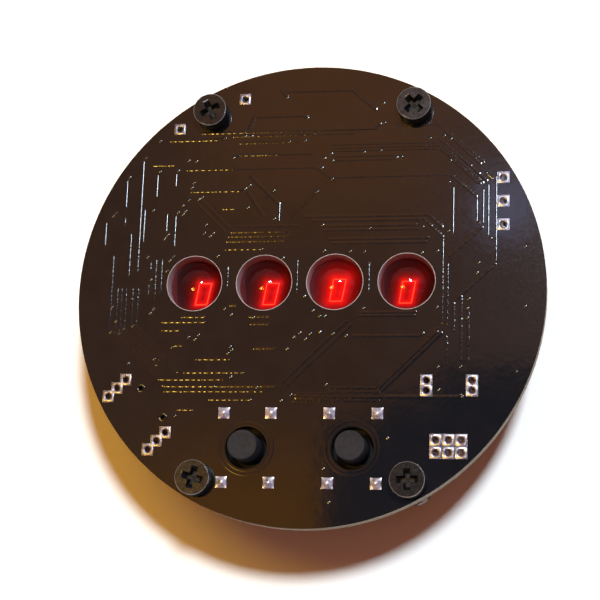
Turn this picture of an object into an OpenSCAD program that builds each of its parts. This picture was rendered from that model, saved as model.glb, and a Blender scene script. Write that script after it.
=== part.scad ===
// A caseless digital watch: a round face board over a narrow rear board, with four lens displays that
// look up through round windows, two push buttons, four screws on spacers and a coin cell below.
// Millimetres. +Z goes up through the face, +Y to twelve o'clock, and z = 0 is the lowest point.

/* [Face board] */
// Diameter of the round face board
board_d = 45; // [45:0.5:60]
// Thickness of the face board
board_t = 1.6; // [1:0.1:2.4]
// Diameter of the four display windows
window_d = 5.4; // [5.2:0.1:6]
// Distance from one window to the next
window_pitch = 6.83; // [6.6:0.01:7.4]
// Middle of the row of windows, left or right of the board's centre
window_row_x = -0.75; // [-1.5:0.05:1.5]
// Middle of the row of windows, above the board's centre
window_row_y = 0.8; // [0:0.1:1.4]

/* [Screws and spacers] */
// Screw spacing across the face
screw_spacing_x = 20; // [19:0.5:20.5]
// Screw spacing up the face
screw_spacing_y = 36; // [35:0.5:36.5]
// Thread diameter of the screws
screw_d = 2; // [1.6:0.1:2.2]
// Radial clearance round a screw's thread
screw_clear = 0.05; // [0.02:0.01:0.1]
// Radial clearance round a screw where it passes through the face board
face_hole_clear = 0.23; // [0.2:0.01:0.3]
// Diameter of a screw head
screw_head_d = 3.3; // [3:0.1:4]
// Height of a screw head
screw_head_h = 1.3; // [1:0.1:1.6]
// Length of a screw under its head
screw_len = 3; // [2.5:0.5:5]
// Rounding of a screw head's top edge, cut as a bevel
screw_bevel = 0.12; // [0.05:0.01:0.3]
// Span of the cross recess
recess_span = 2.3; // [1.6:0.1:2.6]
// Width of the cross recess
recess_w = 0.62; // [0.4:0.02:0.8]
// Depth of the cross recess
recess_depth = 0.8; // [0.4:0.1:0.9]
// Outside diameter of a spacer
spacer_d = 3; // [2.8:0.1:4]
// Height of a spacer, which is the gap between the boards
spacer_len = 4; // [3.9:0.1:6]

/* [Buttons] */
// Left button's place across the face
left_button_x = -5.25; // [-6:0.05:-4.5]
// Right button's place across the face
right_button_x = 4.77; // [4:0.01:6]
// Place of both buttons below the board's centre
button_y = -15.04; // [-15.5:0.01:-14.6]
// Diameter of a button's hole in the face board
button_hole_d = 4; // [3.9:0.1:4.4]
// Diameter of a plunger
plunger_d = 2.8; // [2.6:0.1:3.7]
// Height of a plunger above the face
plunger_rise = 1.9; // [1:0.1:4]
// Bevel round a plunger's top
plunger_bevel = 0.1; // [0.1:0.05:0.5]
// How far a button goes down
button_travel = 0.25; // [0.15:0.05:0.3]
// Side of a switch's square housing
switch_w = 6; // [5.8:0.1:6.2]
// Height of a switch's housing, cover included
switch_h = 3.5; // [3.2:0.1:3.8]
// Thickness of a switch's steel cover
cover_t = 0.3; // [0.2:0.05:0.4]
// Radial clearance between a plunger and its cover
plunger_clear = 0.08; // [0.05:0.01:0.15]
// Spacing of the switch leads across the face
lead_spacing_x = 4.5; // [4.2:0.1:4.8]
// Spacing of the switch leads up the face
lead_spacing_y = 6.5; // [6.5:0.1:6.7]
// Width of a switch lead
lead_w = 0.7; // [0.5:0.05:0.8]
// Thickness of a switch lead
lead_t = 0.3; // [0.2:0.05:0.3]

/* [Displays] */
// Width of a display's body
digit_w = 6.3; // [5.8:0.1:6.4]
// Length of a display's body
digit_l = 8.6; // [8:0.1:9]
// Thickness of a display's body under the face board
digit_h = 2.4; // [2.2:0.1:2.8]
// Diameter of a display's lens
lens_d = 5; // [4.6:0.1:5.1]
// Height of the lens's straight rim above the body
lens_rim = 0.3; // [0.2:0.05:0.5]
// Height of the lens's dome above its rim
lens_rise = 1.1; // [0.6:0.1:1.2]
// Width of the lit digit on its chip
numeral_w = 0.84; // [0.7:0.02:1.2]
// Height of the lit digit on its chip
numeral_h = 1.48; // [1.2:0.02:2]
// Width of one lit stroke
stroke_w = 0.09; // [0.06:0.01:0.14]
// Lean of the digits in degrees
numeral_slant = 10; // [0:1:14]
// Leads on each end of a display
digit_lead_count = 5; // [3:1:5]
// Distance from one display lead to the next
digit_lead_pitch = 1.1; // [1:0.05:1.2]
// Width of a display lead
digit_lead_w = 0.4; // [0.3:0.05:0.5]
// Reach of a display lead past the body
digit_lead_reach = 1.6; // [1.2:0.1:1.8]

/* [Header pads] */
// Side of a square pad
pad_w = 1.1; // [1:0.02:1.12]
// Diameter of a pad's hole
pad_hole_d = 0.55; // [0.4:0.05:0.6]
// Thickness of a pad's plating
plating_t = 0.04; // [0.03:0.01:0.08]
// Distance of the row of three pads from the board's edge
header_inset = 4; // [3.8:0.1:5]
// Place of the row of three pads above the board's centre
header_y = 8.45; // [7:0.05:9]
// Distance from one pad to the next in that row
header_pitch = 2.3; // [2:0.05:2.6]
// Step across and up in the two slanted rows of three pads
slanted_step = 0.81; // [0.8:0.01:1]
// Place of the two pairs of pads below the board's centre
pair_y = -9.17; // [-9.5:0.01:-8.5]
// Middle of the two pairs of pads
pair_x = 13.6; // [13:0.1:14.5]
// Distance between the two pairs of pads
pair_spacing = 4.2; // [3:0.1:5]
// Distance between the two pads of a pair
pair_pitch = 0.92; // [0.8:0.01:1.1]
// Middle of the block of six pads
block_x = 13.6; // [13:0.1:14]
// Place of the block of six pads below the board's centre
block_y = -14.81; // [-15:0.01:-14]
// Distance across and up between the pads of the block
block_pitch = 1.17; // [1.13:0.01:1.27]
// Diameter of the two tooling holes
tooling_hole_d = 0.4; // [0.3:0.05:0.6]

/* [Rear board and cell] */
// Thickness of the rear board
rear_t = 1; // [0.8:0.1:1.6]
// Diameter of the coin cell
cell_d = 20; // [16:0.5:20]
// Height of the coin cell
cell_h = 3.2; // [2.5:0.1:3.2]
// Thickness of the coin cell's sheet steel
cell_wall = 0.25; // [0.2:0.05:0.3]
// Gap over and under the coin cell
cell_gap = 0.05; // [0.02:0.01:0.1]
// Gap round the coin cell
cell_side_gap = 0.3; // [0.2:0.05:0.6]
// Thickness of the cell clip's spring steel
clip_t = 0.3; // [0.2:0.05:0.5]
// Width of the cell clip's strip
clip_w = 12; // [10:0.5:14]
// Length of the cell clip's soldered feet
clip_foot = 2; // [1:0.1:2.5]
// Diameter of the contact plate above the cell
contact_d = 8; // [5:0.5:12]
// Thickness of the contact plate
contact_t = 0.1; // [0.05:0.05:0.3]

/* [Electronics] */
// Side of the microcontroller's square body
chip_w = 7; // [6.5:0.1:7]
// Height of the microcontroller's body
chip_h = 1; // [0.8:0.1:1.4]
// Gap between the microcontroller's body and the board
chip_standoff = 0.1; // [0.05:0.05:0.2]
// Place of the microcontroller above the board's centre
chip_y = 12.4; // [12:0.1:12.6]
// Leads on each side of the microcontroller
chip_lead_count = 8; // [6:1:8]
// Distance from one microcontroller lead to the next
chip_lead_pitch = 0.8; // [0.65:0.05:0.8]
// Diameter of the clock crystal's can
crystal_d = 2; // [1.5:0.1:2.2]
// Length of the clock crystal's can
crystal_len = 6; // [5:0.1:6.5]
// Length of a segment resistor
resistor_len = 1.6; // [1.4:0.1:1.7]
// Distance from one segment resistor to the next
resistor_pitch = 2.1; // [1.9:0.1:2.4]
// Distance from one digit transistor to the next
transistor_pitch = 4.6; // [4:0.1:5]
// Pins of the connector between the boards
pin_count = 6; // [4:1:6]
// Distance from one connector pin to the next
pin_pitch = 1.27; // [1.2:0.01:1.3]
// Side of a square connector pin
pin_w = 0.4; // [0.3:0.05:0.45]
// Height of the connector socket under the face board
socket_h = 2.1; // [1.8:0.1:2.1]

/* [Hidden] */
$fn = 48;

// Overcut that carries a hole clean through a face
cut = 0.1;
// Gap between two pieces that are soldered or moulded together
snug = 0.01;

// Heights of the stack, from the clip at the bottom to the face at the top
cell_z = clip_t + cell_gap;
contact_z = cell_z + cell_h + cell_gap;
rear_z = contact_z + contact_t;
rear_top = rear_z + rear_t;
face_z = rear_top + spacer_len;
face_top = face_z + board_t;

// Screws, and the turn in degrees at which each cross recess was left
screw_hole_d = screw_d + 2 * screw_clear;
face_hole_d = screw_d + 2 * face_hole_clear;
screw_turns = [-15, 2, 27, 45];

// Displays
lens_r = (pow(lens_d / 2, 2) + pow(lens_rise, 2)) / (2 * lens_rise);
pocket_w = 3.4;
pocket_l = 4.4;
pocket_h = 0.6;
chip_plate_t = 0.5;
digit_lead_t = 0.2;
stroke_t = 0.05;
stroke_gap = 0.02;

// Switches
flange_reach = 0.45;
flange_d = plunger_d + 2 * flange_reach;
well_gap = 0.2;
well_d = flange_d + 2 * well_gap;
flange_h = 0.6;
flange_gap = 0.03;
well_depth = 2.1;
dome_d = well_d - 3 * well_gap;
dome_rise = 0.4;
dome_t = 0.08;
dome_gap = 0.05;
nub_d = 1.2;
strap_w = 2.6;
strap_t = 0.2;
strap_len = 2.4;
lead_hole_d = 1;
lead_pad_w = 1.12;
solder_h = 0.38;
base_z = face_z - switch_h;
well_z = face_z - cover_t - well_depth;

// Pads
barrel_d = pad_hole_d + 2 * plating_t;
barrel_hole_d = barrel_d + 2 * snug;
header_x = board_d / 2 - header_inset;
slanted_rows = [[207.5, 2.12], [226.1, 2.42]];
lone_pads = [[109.2, 1.95], [128.7, 1.37]];
tooling_holes = [[210.9, 4.17], [222.2, 4.35]];

// Cell clip
leg_y = cell_d / 2 + cell_side_gap;
stop_w = 4;
slit_w = 0.4;
slit_len = 5;
tongue_w = 3;

// Coin cell
crimp_drop = 0.25;
shoulder_drop = 0.6;
seal_w = 0.75;
filling_gap = 0.1;

// Small parts of the electronics
chip_lead_reach = 1;
chip_lead_w = 0.35;
chip_lead_t = 0.12;
crystal_x = -7.7;
crystal_y = 12.2;
crystal_lead_w = 0.3;
crystal_lead_len = 1.6;
crystal_lead_x = crystal_d / 5;
resistor_w = 0.8;
resistor_h = 0.45;
resistor_y = -7.3;
end_len = 0.3;
resistor_count = 8;
transistor_y = -10;
transistor_count = 4;
transistor_l = 2.9;
transistor_w = 1.3;
transistor_h = 1;
transistor_lead_reach = 0.55;
transistor_lead_t = 0.15;
transistor_lead_x = 0.95;
pin_x = 9.2;
pin_y = 12;
pin_body_w = 2;
pin_foot = 0.7;
pin_foot_t = 0.15;
pin_fit = 0.02;
pin_cover = 1.6;
header_h = 1.3;
capacitor_sites = [[-8.3, 13.4], [-8.3, 8.6]];
capacitor_l = 3.2;
capacitor_w = 1.6;
capacitor_h = 1.5;
diode_site = [9.6, -10];
diode_l = 2.7;
diode_w = 1.6;
diode_h = 1.1;

colour_mask = "#1d1714";
colour_tin = "#c9cacb";
colour_steel = "#a9abad";
colour_black = "#2c292b";
colour_epoxy = "#8c0f0c";
colour_lit = "#ff3a1e";

// Point at an angle and a distance in from the board's edge
function on_edge(angle, inset) = (board_d / 2 - inset) * [cos(angle), sin(angle)];

// Places of the pads with holes
function header_sites() = [for (i = [-1:1]) [header_x, header_y + i * header_pitch]];
function lone_sites() = [for (p = lone_pads) on_edge(p[0], p[1])];
function slanted_sites() =
    [for (p = slanted_rows) for (i = [-1:1]) on_edge(p[0], p[1]) + i * slanted_step * [1, 1]];
function pair_sites() =
    [for (i = [-1, 1]) for (j = [-1, 1])
        [pair_x + i * pair_spacing / 2, pair_y + j * pair_pitch / 2]];
function block_sites() =
    [for (i = [-1:1]) for (j = [-1, 1]) [block_x + i * block_pitch, block_y + j * block_pitch / 2]];
function pad_sites() =
    concat(header_sites(), lone_sites(), slanted_sites(), pair_sites(), block_sites());

// A point leaned over as the digits are
function leaned(p) = [p[0] + p[1] * tan(numeral_slant), p[1]];

module at_screws() {
    for (i = [-1, 1]) for (j = [-1, 1])
        translate([i * screw_spacing_x / 2, j * screw_spacing_y / 2, 0])
            children();
}

module at_window(n) {
    translate([window_row_x + (n - 2.5) * window_pitch, window_row_y, 0])
        children();
}

module at_windows() {
    for (n = [1:4]) at_window(n) children();
}

module at_buttons() {
    for (x = [left_button_x, right_button_x]) translate([x, button_y, 0]) children();
}

// The four lead places of a switch, each turned so that +Y points away from the housing
module at_leads() {
    for (side = [0, 180]) rotate(side) for (i = [-1, 1])
        translate([i * lead_spacing_x / 2, lead_spacing_y / 2, 0])
            children();
}

module at_pads() {
    for (p = pad_sites()) translate([p[0], p[1], 0]) children();
}

module through_face(d) {
    translate([0, 0, face_z - cut]) cylinder(d = d, h = board_t + 2 * cut);
}

// A box centred on x and y, standing on height z
module block(w, l, h, z) {
    translate([-w / 2, -l / 2, z]) cube([w, l, h]);
}

module face_board() {
    color(colour_mask)
    difference() {
        translate([0, 0, face_z]) cylinder(d = board_d, h = board_t, $fn = 160);
        at_screws() through_face(face_hole_d);
        at_windows() through_face(window_d);
        at_buttons() through_face(button_hole_d);
        at_buttons() at_leads() through_face(lead_hole_d);
        at_pads() through_face(barrel_hole_d);
        for (p = tooling_holes) translate(on_edge(p[0], p[1])) through_face(tooling_hole_d);
    }
}

// One plated hole: a square land on each face, joined by a thin barrel
module plated_pad() {
    difference() {
        union() {
            block(pad_w, pad_w, plating_t, face_top);
            block(pad_w, pad_w, plating_t, face_z - plating_t);
            translate([0, 0, face_z - plating_t]) cylinder(d = barrel_d, h = board_t + 2 * plating_t);
        }
        through_face(pad_hole_d);
    }
}

module header_pads() {
    color(colour_tin) at_pads() plated_pad();
}

// A square land with a dome of solder over the lead's hole
module solder_joint() {
    block(lead_pad_w, lead_pad_w, plating_t, face_top);
    translate([0, 0, face_top + plating_t])
        cylinder(d1 = lead_pad_w, d2 = lead_w / 2, h = solder_h, $fn = 24);
}

module solder_joints() {
    color(colour_tin) at_buttons() at_leads() solder_joint();
}

// Clear epoxy body, hung under the face board, with its lens standing up into the window
module digit_body(n) {
    color(colour_epoxy)
    at_window(n)
    difference() {
        union() {
            block(digit_w, digit_l, digit_h, face_z - digit_h);
            translate([0, 0, face_z - cut]) cylinder(d = lens_d, h = lens_rim + cut);
            intersection() {
                translate([0, 0, face_z + lens_rim + lens_rise - lens_r]) sphere(r = lens_r, $fn = 96);
                translate([0, 0, face_z + lens_rim - cut]) cylinder(d = lens_d, h = lens_rise + 2 * cut);
            }
        }
        block(pocket_w, pocket_l, pocket_h + cut, face_z - digit_h - cut);
    }
}

// Lead that leaves the body's end, turns up to the board and ends in a foot against it
module digit_lead() {
    t = digit_lead_t;
    drop = digit_h / 2;
    rotate([90, 0, 90])
        translate([0, 0, -digit_lead_w / 2])
            linear_extrude(digit_lead_w)
                polygon([
                    [snug, face_z - drop - t], [digit_lead_reach / 3 + t, face_z - drop - t],
                    [digit_lead_reach / 3 + t, face_z - t], [digit_lead_reach, face_z - t],
                    [digit_lead_reach, face_z], [digit_lead_reach / 3, face_z],
                    [digit_lead_reach / 3, face_z - drop], [snug, face_z - drop]
                ]);
}

// The leads of one display, with the plate that carries its chip
module digit_leads(n) {
    color(colour_tin)
    at_window(n) {
        for (side = [0, 180]) rotate(side) for (i = [0:digit_lead_count - 1])
            translate([(i - (digit_lead_count - 1) / 2) * digit_lead_pitch, digit_l / 2, 0])
                digit_lead();
        block(pocket_w - 2 * snug, pocket_l - 2 * snug, chip_plate_t, face_z - digit_h);
    }
}

// One straight stroke between two points of the leaning digit
module stroke(x0, y0, x1, y1) {
    linear_extrude(stroke_t) polygon([for (p = [[x0, y0], [x1, y0], [x1, y1], [x0, y1]]) leaned(p)]);
}

// The seven strokes of a digit on its chip
module digit_strokes(n) {
    x = numeral_w / 2;
    y = numeral_h / 2;
    w = stroke_w;
    g = stroke_gap;
    color(colour_lit)
    at_window(n)
    translate([0, 0, face_z - digit_h + chip_plate_t]) {
        stroke(-x + w + g, y - w, x - w - g, y);
        stroke(-x + w + g, -y, x - w - g, -y + w);
        stroke(-x + w + g, -w / 2, x - w - g, w / 2);
        for (i = [-1, 1]) for (j = [0, 1]) {
            left = i * (x - w / 2) - w / 2;
            low = (j - 1) * y + g;
            stroke(left, low, left + w, low + y - 2 * g);
        }
    }
}

// Room for a lead beside the housing, cut into whatever of the housing stands in its way
module lead_room() {
    translate([0, lead_t, 0])
        block(lead_w + 2 * snug, 3 * lead_t + 2 * snug, switch_h + cut, base_z + lead_t - snug);
}

// Moulded base of a switch: a square block with a round well that holds the snap dome
module switch_base() {
    difference() {
        block(switch_w, switch_w, switch_h - cover_t, base_z);
        translate([0, 0, well_z]) cylinder(d = well_d, h = well_depth + cut);
        at_leads() lead_room();
    }
}

// Steel cover: a plate under the face board with a strap down each side
module switch_cover() {
    difference() {
        block(switch_w + 2 * (strap_t + snug), switch_w, cover_t, face_z - cover_t);
        translate([0, 0, face_z - cover_t - cut])
            cylinder(d = plunger_d + 2 * plunger_clear, h = cover_t + 2 * cut);
        at_leads() lead_room();
    }
    for (side = [0, 180]) rotate(side)
        translate([switch_w / 2 + snug + strap_t / 2, 0, 0])
            block(strap_t, strap_w, strap_len, face_z - cover_t - strap_len);
}

// Snap dome, a thin cap of a sphere that stands on the well's floor
module switch_dome() {
    r = (pow(dome_d / 2, 2) + pow(dome_rise, 2)) / (2 * dome_rise);
    translate([0, 0, well_z + dome_rise - r])
        intersection() {
            difference() {
                sphere(r = r, $fn = 96);
                sphere(r = r - dome_t, $fn = 96);
            }
            translate([0, 0, r - dome_rise]) cylinder(d = dome_d, h = dome_rise + cut);
        }
}

// Plunger: a stem through the cover and the face board, a flange under the cover and a nub below
module switch_plunger() {
    top = face_top + plunger_rise;
    flange_z = face_z - cover_t - flange_gap - flange_h;
    nub_z = well_z + dome_rise + dome_gap + button_travel;
    translate([0, 0, nub_z]) cylinder(d = nub_d, h = flange_z - nub_z + cut);
    translate([0, 0, flange_z]) cylinder(d = flange_d, h = flange_h);
    translate([0, 0, flange_z]) cylinder(d = plunger_d, h = top - plunger_bevel - flange_z);
    translate([0, 0, top - plunger_bevel])
        cylinder(d1 = plunger_d, d2 = plunger_d - 2 * plunger_bevel, h = plunger_bevel);
}

// Lead that leaves the base's side low down and goes straight up through the face board
module switch_lead() {
    gap = lead_spacing_y / 2 - lead_t / 2 - switch_w / 2;
    block(lead_w, lead_t, face_top - base_z - lead_t, base_z + lead_t);
    translate([0, -gap / 2, 0])
        block(lead_w, lead_t + gap, lead_t, base_z + lead_t);
}

module switch_leads() {
    at_leads() switch_lead();
}

module left_switch() {
    translate([left_button_x, button_y, 0]) children();
}

module right_switch() {
    translate([right_button_x, button_y, 0]) children();
}

// Pan-head screw with a cross recess
module face_screw() {
    r = screw_head_d / 2;
    difference() {
        union() {
            translate([0, 0, face_top]) cylinder(r = r, h = screw_head_h - screw_bevel);
            translate([0, 0, face_top + screw_head_h - screw_bevel])
                cylinder(r1 = r, r2 = r - screw_bevel, h = screw_bevel);
            translate([0, 0, face_top - screw_len]) cylinder(d = screw_d, h = screw_len + cut);
        }
        for (a = [0, 90]) rotate(a)
            block(recess_span, recess_w, recess_depth + cut, face_top + screw_head_h - recess_depth);
    }
}

module face_screws() {
    color(colour_black)
    for (i = [0:1]) for (j = [0:1])
        translate([(i - 0.5) * screw_spacing_x, (j - 0.5) * screw_spacing_y, 0])
            rotate(screw_turns[i + 2 * j])
                face_screw();
}

// Threaded spacer, soldered to the rear board
module spacers() {
    color("#cfc6d6")
    at_screws()
    difference() {
        translate([0, 0, rear_top]) cylinder(d = spacer_d, h = spacer_len);
        translate([0, 0, rear_top - cut]) cylinder(d = screw_hole_d, h = spacer_len + 2 * cut);
    }
}

// Narrow board whose round corners follow the spacers
module rear_board() {
    color(colour_mask)
    difference() {
        hull() at_screws() translate([0, 0, rear_z]) cylinder(d = spacer_d, h = rear_t, $fn = 32);
        at_screws() translate([0, 0, rear_z - cut]) cylinder(d = screw_hole_d, h = rear_t + 2 * cut);
    }
}

// Spring clip under the cell: a slit strip, two legs with feet on the rear board, and a side stop
module cell_clip() {
    leg_h = rear_z;
    stop_x = cell_d / 2 + cell_side_gap;
    color(colour_steel) {
        difference() {
            block(clip_w, 2 * (leg_y + clip_t), clip_t, 0);
            for (i = [-1, 1]) for (j = [-1, 1])
                translate([i * tongue_w / 2, j * slit_len, 0])
                    block(slit_w, slit_len, clip_t + 2 * cut, -cut);
            for (j = [-1, 1])
                translate([0, j * slit_len / 2, 0])
                    block(tongue_w + slit_w, slit_w, clip_t + 2 * cut, -cut);
        }
        for (side = [0, 180]) rotate(side) {
            translate([0, leg_y + clip_t / 2, 0]) block(clip_w, clip_t, leg_h, 0);
            translate([0, leg_y + clip_foot / 2, 0]) block(clip_w, clip_foot, clip_t, leg_h - clip_t);
        }
        translate([-stop_x - clip_t, -stop_w / 2, 0])
            cube([stop_x + clip_t - clip_w / 2 + cut, stop_w, clip_t]);
        translate([-stop_x - clip_t / 2, 0, 0]) block(clip_t, stop_w, cell_z + cell_h - cell_wall, 0);
    }
}

module cell_contact() {
    color("#c9a24a") translate([0, 0, contact_z]) cylinder(d = contact_d, h = contact_t);
}

// Turned profile of the coin cell's parts, standing on the clip
module cell_turned(points) {
    translate([0, 0, cell_z]) rotate_extrude($fn = 96) polygon(points);
}

// Steel can: flat bottom, straight wall and a rim crimped in over the seal
module cell_can() {
    r = cell_d / 2;
    t = cell_wall;
    crimp = cell_h - crimp_drop;
    shoulder = cell_h - shoulder_drop;
    color(colour_steel)
    cell_turned([
        [0, 0], [r - t, 0], [r, t], [r, shoulder], [r - 2 * t, crimp], [r - 3 * t, crimp],
        [r - 3 * t, crimp - t / 2], [r - t, shoulder - t / 2], [r - t, t], [0, t]
    ]);
}

module cell_seal() {
    outer = cell_d / 2 - cell_wall - snug;
    shoulder = cell_h - shoulder_drop - cell_wall;
    color("#3c3f45")
    cell_turned([
        [outer - seal_w, cell_wall + snug], [outer, cell_wall + snug],
        [outer, shoulder], [outer - seal_w, shoulder]
    ]);
}

module cell_cap() {
    r = cell_d / 2 - cell_wall - seal_w - 2 * snug;
    t = cell_wall;
    color(colour_tin)
    cell_turned([
        [0, cell_h], [r - 2 * t, cell_h], [r, cell_h - t], [r, 3 * t], [r - t, 3 * t],
        [r - t, cell_h - 3 * t / 2], [r - 5 * t / 2, cell_h - t], [0, cell_h - t]
    ]);
}

module cell_filling() {
    r = cell_d / 2 - 2 * cell_wall - seal_w - filling_gap;
    color("#4a4a4c")
    cell_turned([
        [0, cell_wall + snug], [r, cell_wall + snug],
        [r, cell_h - 2 * cell_wall - snug], [r - 3 * cell_wall, cell_h - cell_wall - snug],
        [0, cell_h - cell_wall - snug]
    ]);
}

// Square chip package, face down under the face board
module microcontroller() {
    color(colour_black)
    translate([0, chip_y, 0])
        block(chip_w, chip_w, chip_h, face_z - chip_standoff - chip_h);
}

module chip_lead() {
    mid = face_z - chip_standoff - chip_h / 2;
    t = chip_lead_t;
    bend = chip_lead_reach * 0.4;
    rotate([90, 0, 90])
        translate([0, 0, -chip_lead_w / 2])
            linear_extrude(chip_lead_w)
                polygon([
                    [0, mid - t], [bend + t, mid - t], [bend + t, face_z - t], [chip_lead_reach, face_z - t],
                    [chip_lead_reach, face_z], [bend, face_z], [bend, mid], [0, mid]
                ]);
}

module microcontroller_leads() {
    color(colour_tin)
    translate([0, chip_y, 0])
        for (side = [0:90:270]) rotate(side) for (i = [0:chip_lead_count - 1])
            translate([(i - (chip_lead_count - 1) / 2) * chip_lead_pitch, chip_w / 2, 0])
                chip_lead();
}

// Can of the clock crystal, lying against the face board
module clock_crystal() {
    color(colour_steel)
    translate([crystal_x, crystal_y - crystal_len / 2, face_z - crystal_d / 2])
        rotate([-90, 0, 0])
            cylinder(d = crystal_d, h = crystal_len);
}

// Two wires that leave the can's end and turn up to the board
module crystal_leads() {
    w = crystal_lead_w;
    end_y = crystal_y - crystal_len / 2;
    color(colour_tin)
    for (i = [-1, 1]) translate([crystal_x + i * crystal_lead_x, end_y - crystal_lead_len / 2, 0]) {
        block(w, crystal_lead_len, w, face_z - crystal_d / 2 - w / 2);
        translate([0, -crystal_lead_len / 2 + w / 2, 0])
            block(w, w, crystal_d / 2 + w / 2, face_z - crystal_d / 2 - w / 2);
    }
}

module at_resistors() {
    for (i = [0:resistor_count - 1])
        translate([window_row_x + (i - (resistor_count - 1) / 2) * resistor_pitch, resistor_y, 0])
            children();
}

module segment_resistors() {
    color("#26262a")
    at_resistors()
        block(resistor_w, resistor_len - 2 * end_len, resistor_h, face_z - resistor_h);
}

module resistor_ends() {
    color(colour_tin)
    at_resistors() for (i = [-1, 1])
        translate([0, i * (resistor_len - end_len) / 2, 0])
            block(resistor_w, end_len, resistor_h, face_z - resistor_h);
}

module at_transistors() {
    for (i = [0:transistor_count - 1])
        translate([window_row_x + (i - (transistor_count - 1) / 2) * transistor_pitch, transistor_y, 0])
            children();
}

module digit_transistors() {
    color(colour_black)
    at_transistors()
        block(transistor_l, transistor_w, transistor_h, face_z - chip_standoff - transistor_h);
}

// Three leads: two on one side and one on the other
module transistor_leads() {
    t = transistor_lead_t;
    x = transistor_lead_x;
    low = face_z - chip_standoff - transistor_h / 2;
    color(colour_tin)
    at_transistors() for (p = [[-x, 1], [x, 1], [0, -1]])
        translate([p[0], p[1] * (transistor_w + t) / 2, 0]) {
            block(chip_lead_w, t, face_z - low, low);
            translate([0, p[1] * (transistor_lead_reach - t) / 2, 0])
                block(chip_lead_w, transistor_lead_reach, t, face_z - t);
        }
}

module at_pins() {
    for (i = [0:pin_count - 1])
        translate([pin_x, pin_y + (i - (pin_count - 1) / 2) * pin_pitch, 0])
            rotate(180 * (i % 2))
                children();
}

// Socket under the face board, with a square hole for each pin
module connector_socket() {
    hole = pin_w + 2 * pin_fit;
    color(colour_black)
    difference() {
        translate([pin_x, pin_y, 0]) block(pin_body_w, pin_count * pin_pitch, socket_h, face_z - socket_h);
        at_pins() block(hole, hole, pin_cover + cut, face_z - socket_h - cut);
    }
}

module connector_header() {
    hole = pin_w + 2 * pin_fit;
    low = rear_top + pin_foot_t;
    color(colour_black)
    difference() {
        translate([pin_x, pin_y, 0]) block(pin_body_w, pin_count * pin_pitch, header_h, low);
        at_pins() block(hole, hole, header_h + 2 * cut, low - cut);
    }
}

// Square pins with a soldered foot, turned to either side in turn
module connector_pins() {
    color("#c9a24a")
    at_pins() {
        block(pin_w, pin_w, face_z - socket_h + pin_cover - pin_fit - rear_top, rear_top);
        translate([(pin_body_w / 2 + pin_foot - pin_w / 2) / 2, 0, 0])
            block(pin_body_w / 2 + pin_foot + pin_w / 2, pin_w, pin_foot_t, rear_top);
    }
}

// Moulded body of a two-ended part that lies on the rear board
module rear_chip(l, w, h) {
    block(w, l - 2 * end_len, h, rear_top);
}

module rear_chip_ends(l, w, h) {
    for (i = [-1, 1]) translate([0, i * (l - end_len) / 2, 0]) block(w, end_len, h, rear_top);
}

module supply_capacitors() {
    color("#c98a2c")
    for (p = capacitor_sites) translate(p) rear_chip(capacitor_l, capacitor_w, capacitor_h);
}

module capacitor_ends() {
    color(colour_tin)
    for (p = capacitor_sites) translate(p) rear_chip_ends(capacitor_l, capacitor_w, capacitor_h);
}

module polarity_diode() {
    color(colour_black) translate(diode_site) rear_chip(diode_l, diode_w, diode_h);
}

module diode_ends() {
    color(colour_tin) translate(diode_site) rear_chip_ends(diode_l, diode_w, diode_h);
}

face_board();
header_pads();
solder_joints();
digit_body(1);  // digit_body_1
digit_body(2);  // digit_body_2
digit_body(3);  // digit_body_3
digit_body(4);  // digit_body_4
digit_leads(1);  // digit_leads_1
digit_leads(2);  // digit_leads_2
digit_leads(3);  // digit_leads_3
digit_leads(4);  // digit_leads_4
digit_strokes(1);  // digit_strokes_1
digit_strokes(2);  // digit_strokes_2
digit_strokes(3);  // digit_strokes_3
digit_strokes(4);  // digit_strokes_4
color(colour_black) left_switch() switch_base();  // left_switch_base
color(colour_black) right_switch() switch_base();  // right_switch_base
color(colour_steel) left_switch() switch_cover();  // left_switch_cover
color(colour_steel) right_switch() switch_cover();  // right_switch_cover
color(colour_steel) left_switch() switch_dome();  // left_switch_dome
color(colour_steel) right_switch() switch_dome();  // right_switch_dome
color(colour_tin) left_switch() switch_leads();  // left_switch_leads
color(colour_tin) right_switch() switch_leads();  // right_switch_leads
color(colour_black) left_switch() switch_plunger();  // left_plunger
color(colour_black) right_switch() switch_plunger();  // right_plunger
face_screws();
spacers();
rear_board();
cell_clip();
cell_contact();
cell_can();
cell_cap();
cell_seal();
cell_filling();
microcontroller();
microcontroller_leads();
clock_crystal();
crystal_leads();
segment_resistors();
resistor_ends();
digit_transistors();
transistor_leads();
connector_socket();
connector_header();
connector_pins();
supply_capacitors();
capacitor_ends();
polarity_diode();
diode_ends();
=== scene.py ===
import math

import bmesh
import bpy
from mathutils import Matrix, Vector


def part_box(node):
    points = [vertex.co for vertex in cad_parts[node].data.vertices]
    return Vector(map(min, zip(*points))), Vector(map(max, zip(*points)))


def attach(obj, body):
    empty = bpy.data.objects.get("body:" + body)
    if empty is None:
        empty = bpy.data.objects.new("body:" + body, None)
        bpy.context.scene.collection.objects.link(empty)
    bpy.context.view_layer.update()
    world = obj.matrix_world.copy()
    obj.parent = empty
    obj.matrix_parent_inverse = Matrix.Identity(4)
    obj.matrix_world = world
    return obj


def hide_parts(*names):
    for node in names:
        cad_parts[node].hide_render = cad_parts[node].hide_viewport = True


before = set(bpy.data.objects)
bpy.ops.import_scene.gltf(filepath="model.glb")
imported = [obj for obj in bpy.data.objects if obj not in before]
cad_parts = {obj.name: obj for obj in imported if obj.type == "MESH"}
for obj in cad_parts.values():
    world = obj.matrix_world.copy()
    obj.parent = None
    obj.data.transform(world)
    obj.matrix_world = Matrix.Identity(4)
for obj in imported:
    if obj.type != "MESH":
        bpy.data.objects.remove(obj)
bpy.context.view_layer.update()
mm = 0.001
print("frame loaded with", len(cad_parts), "nodes")

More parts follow.
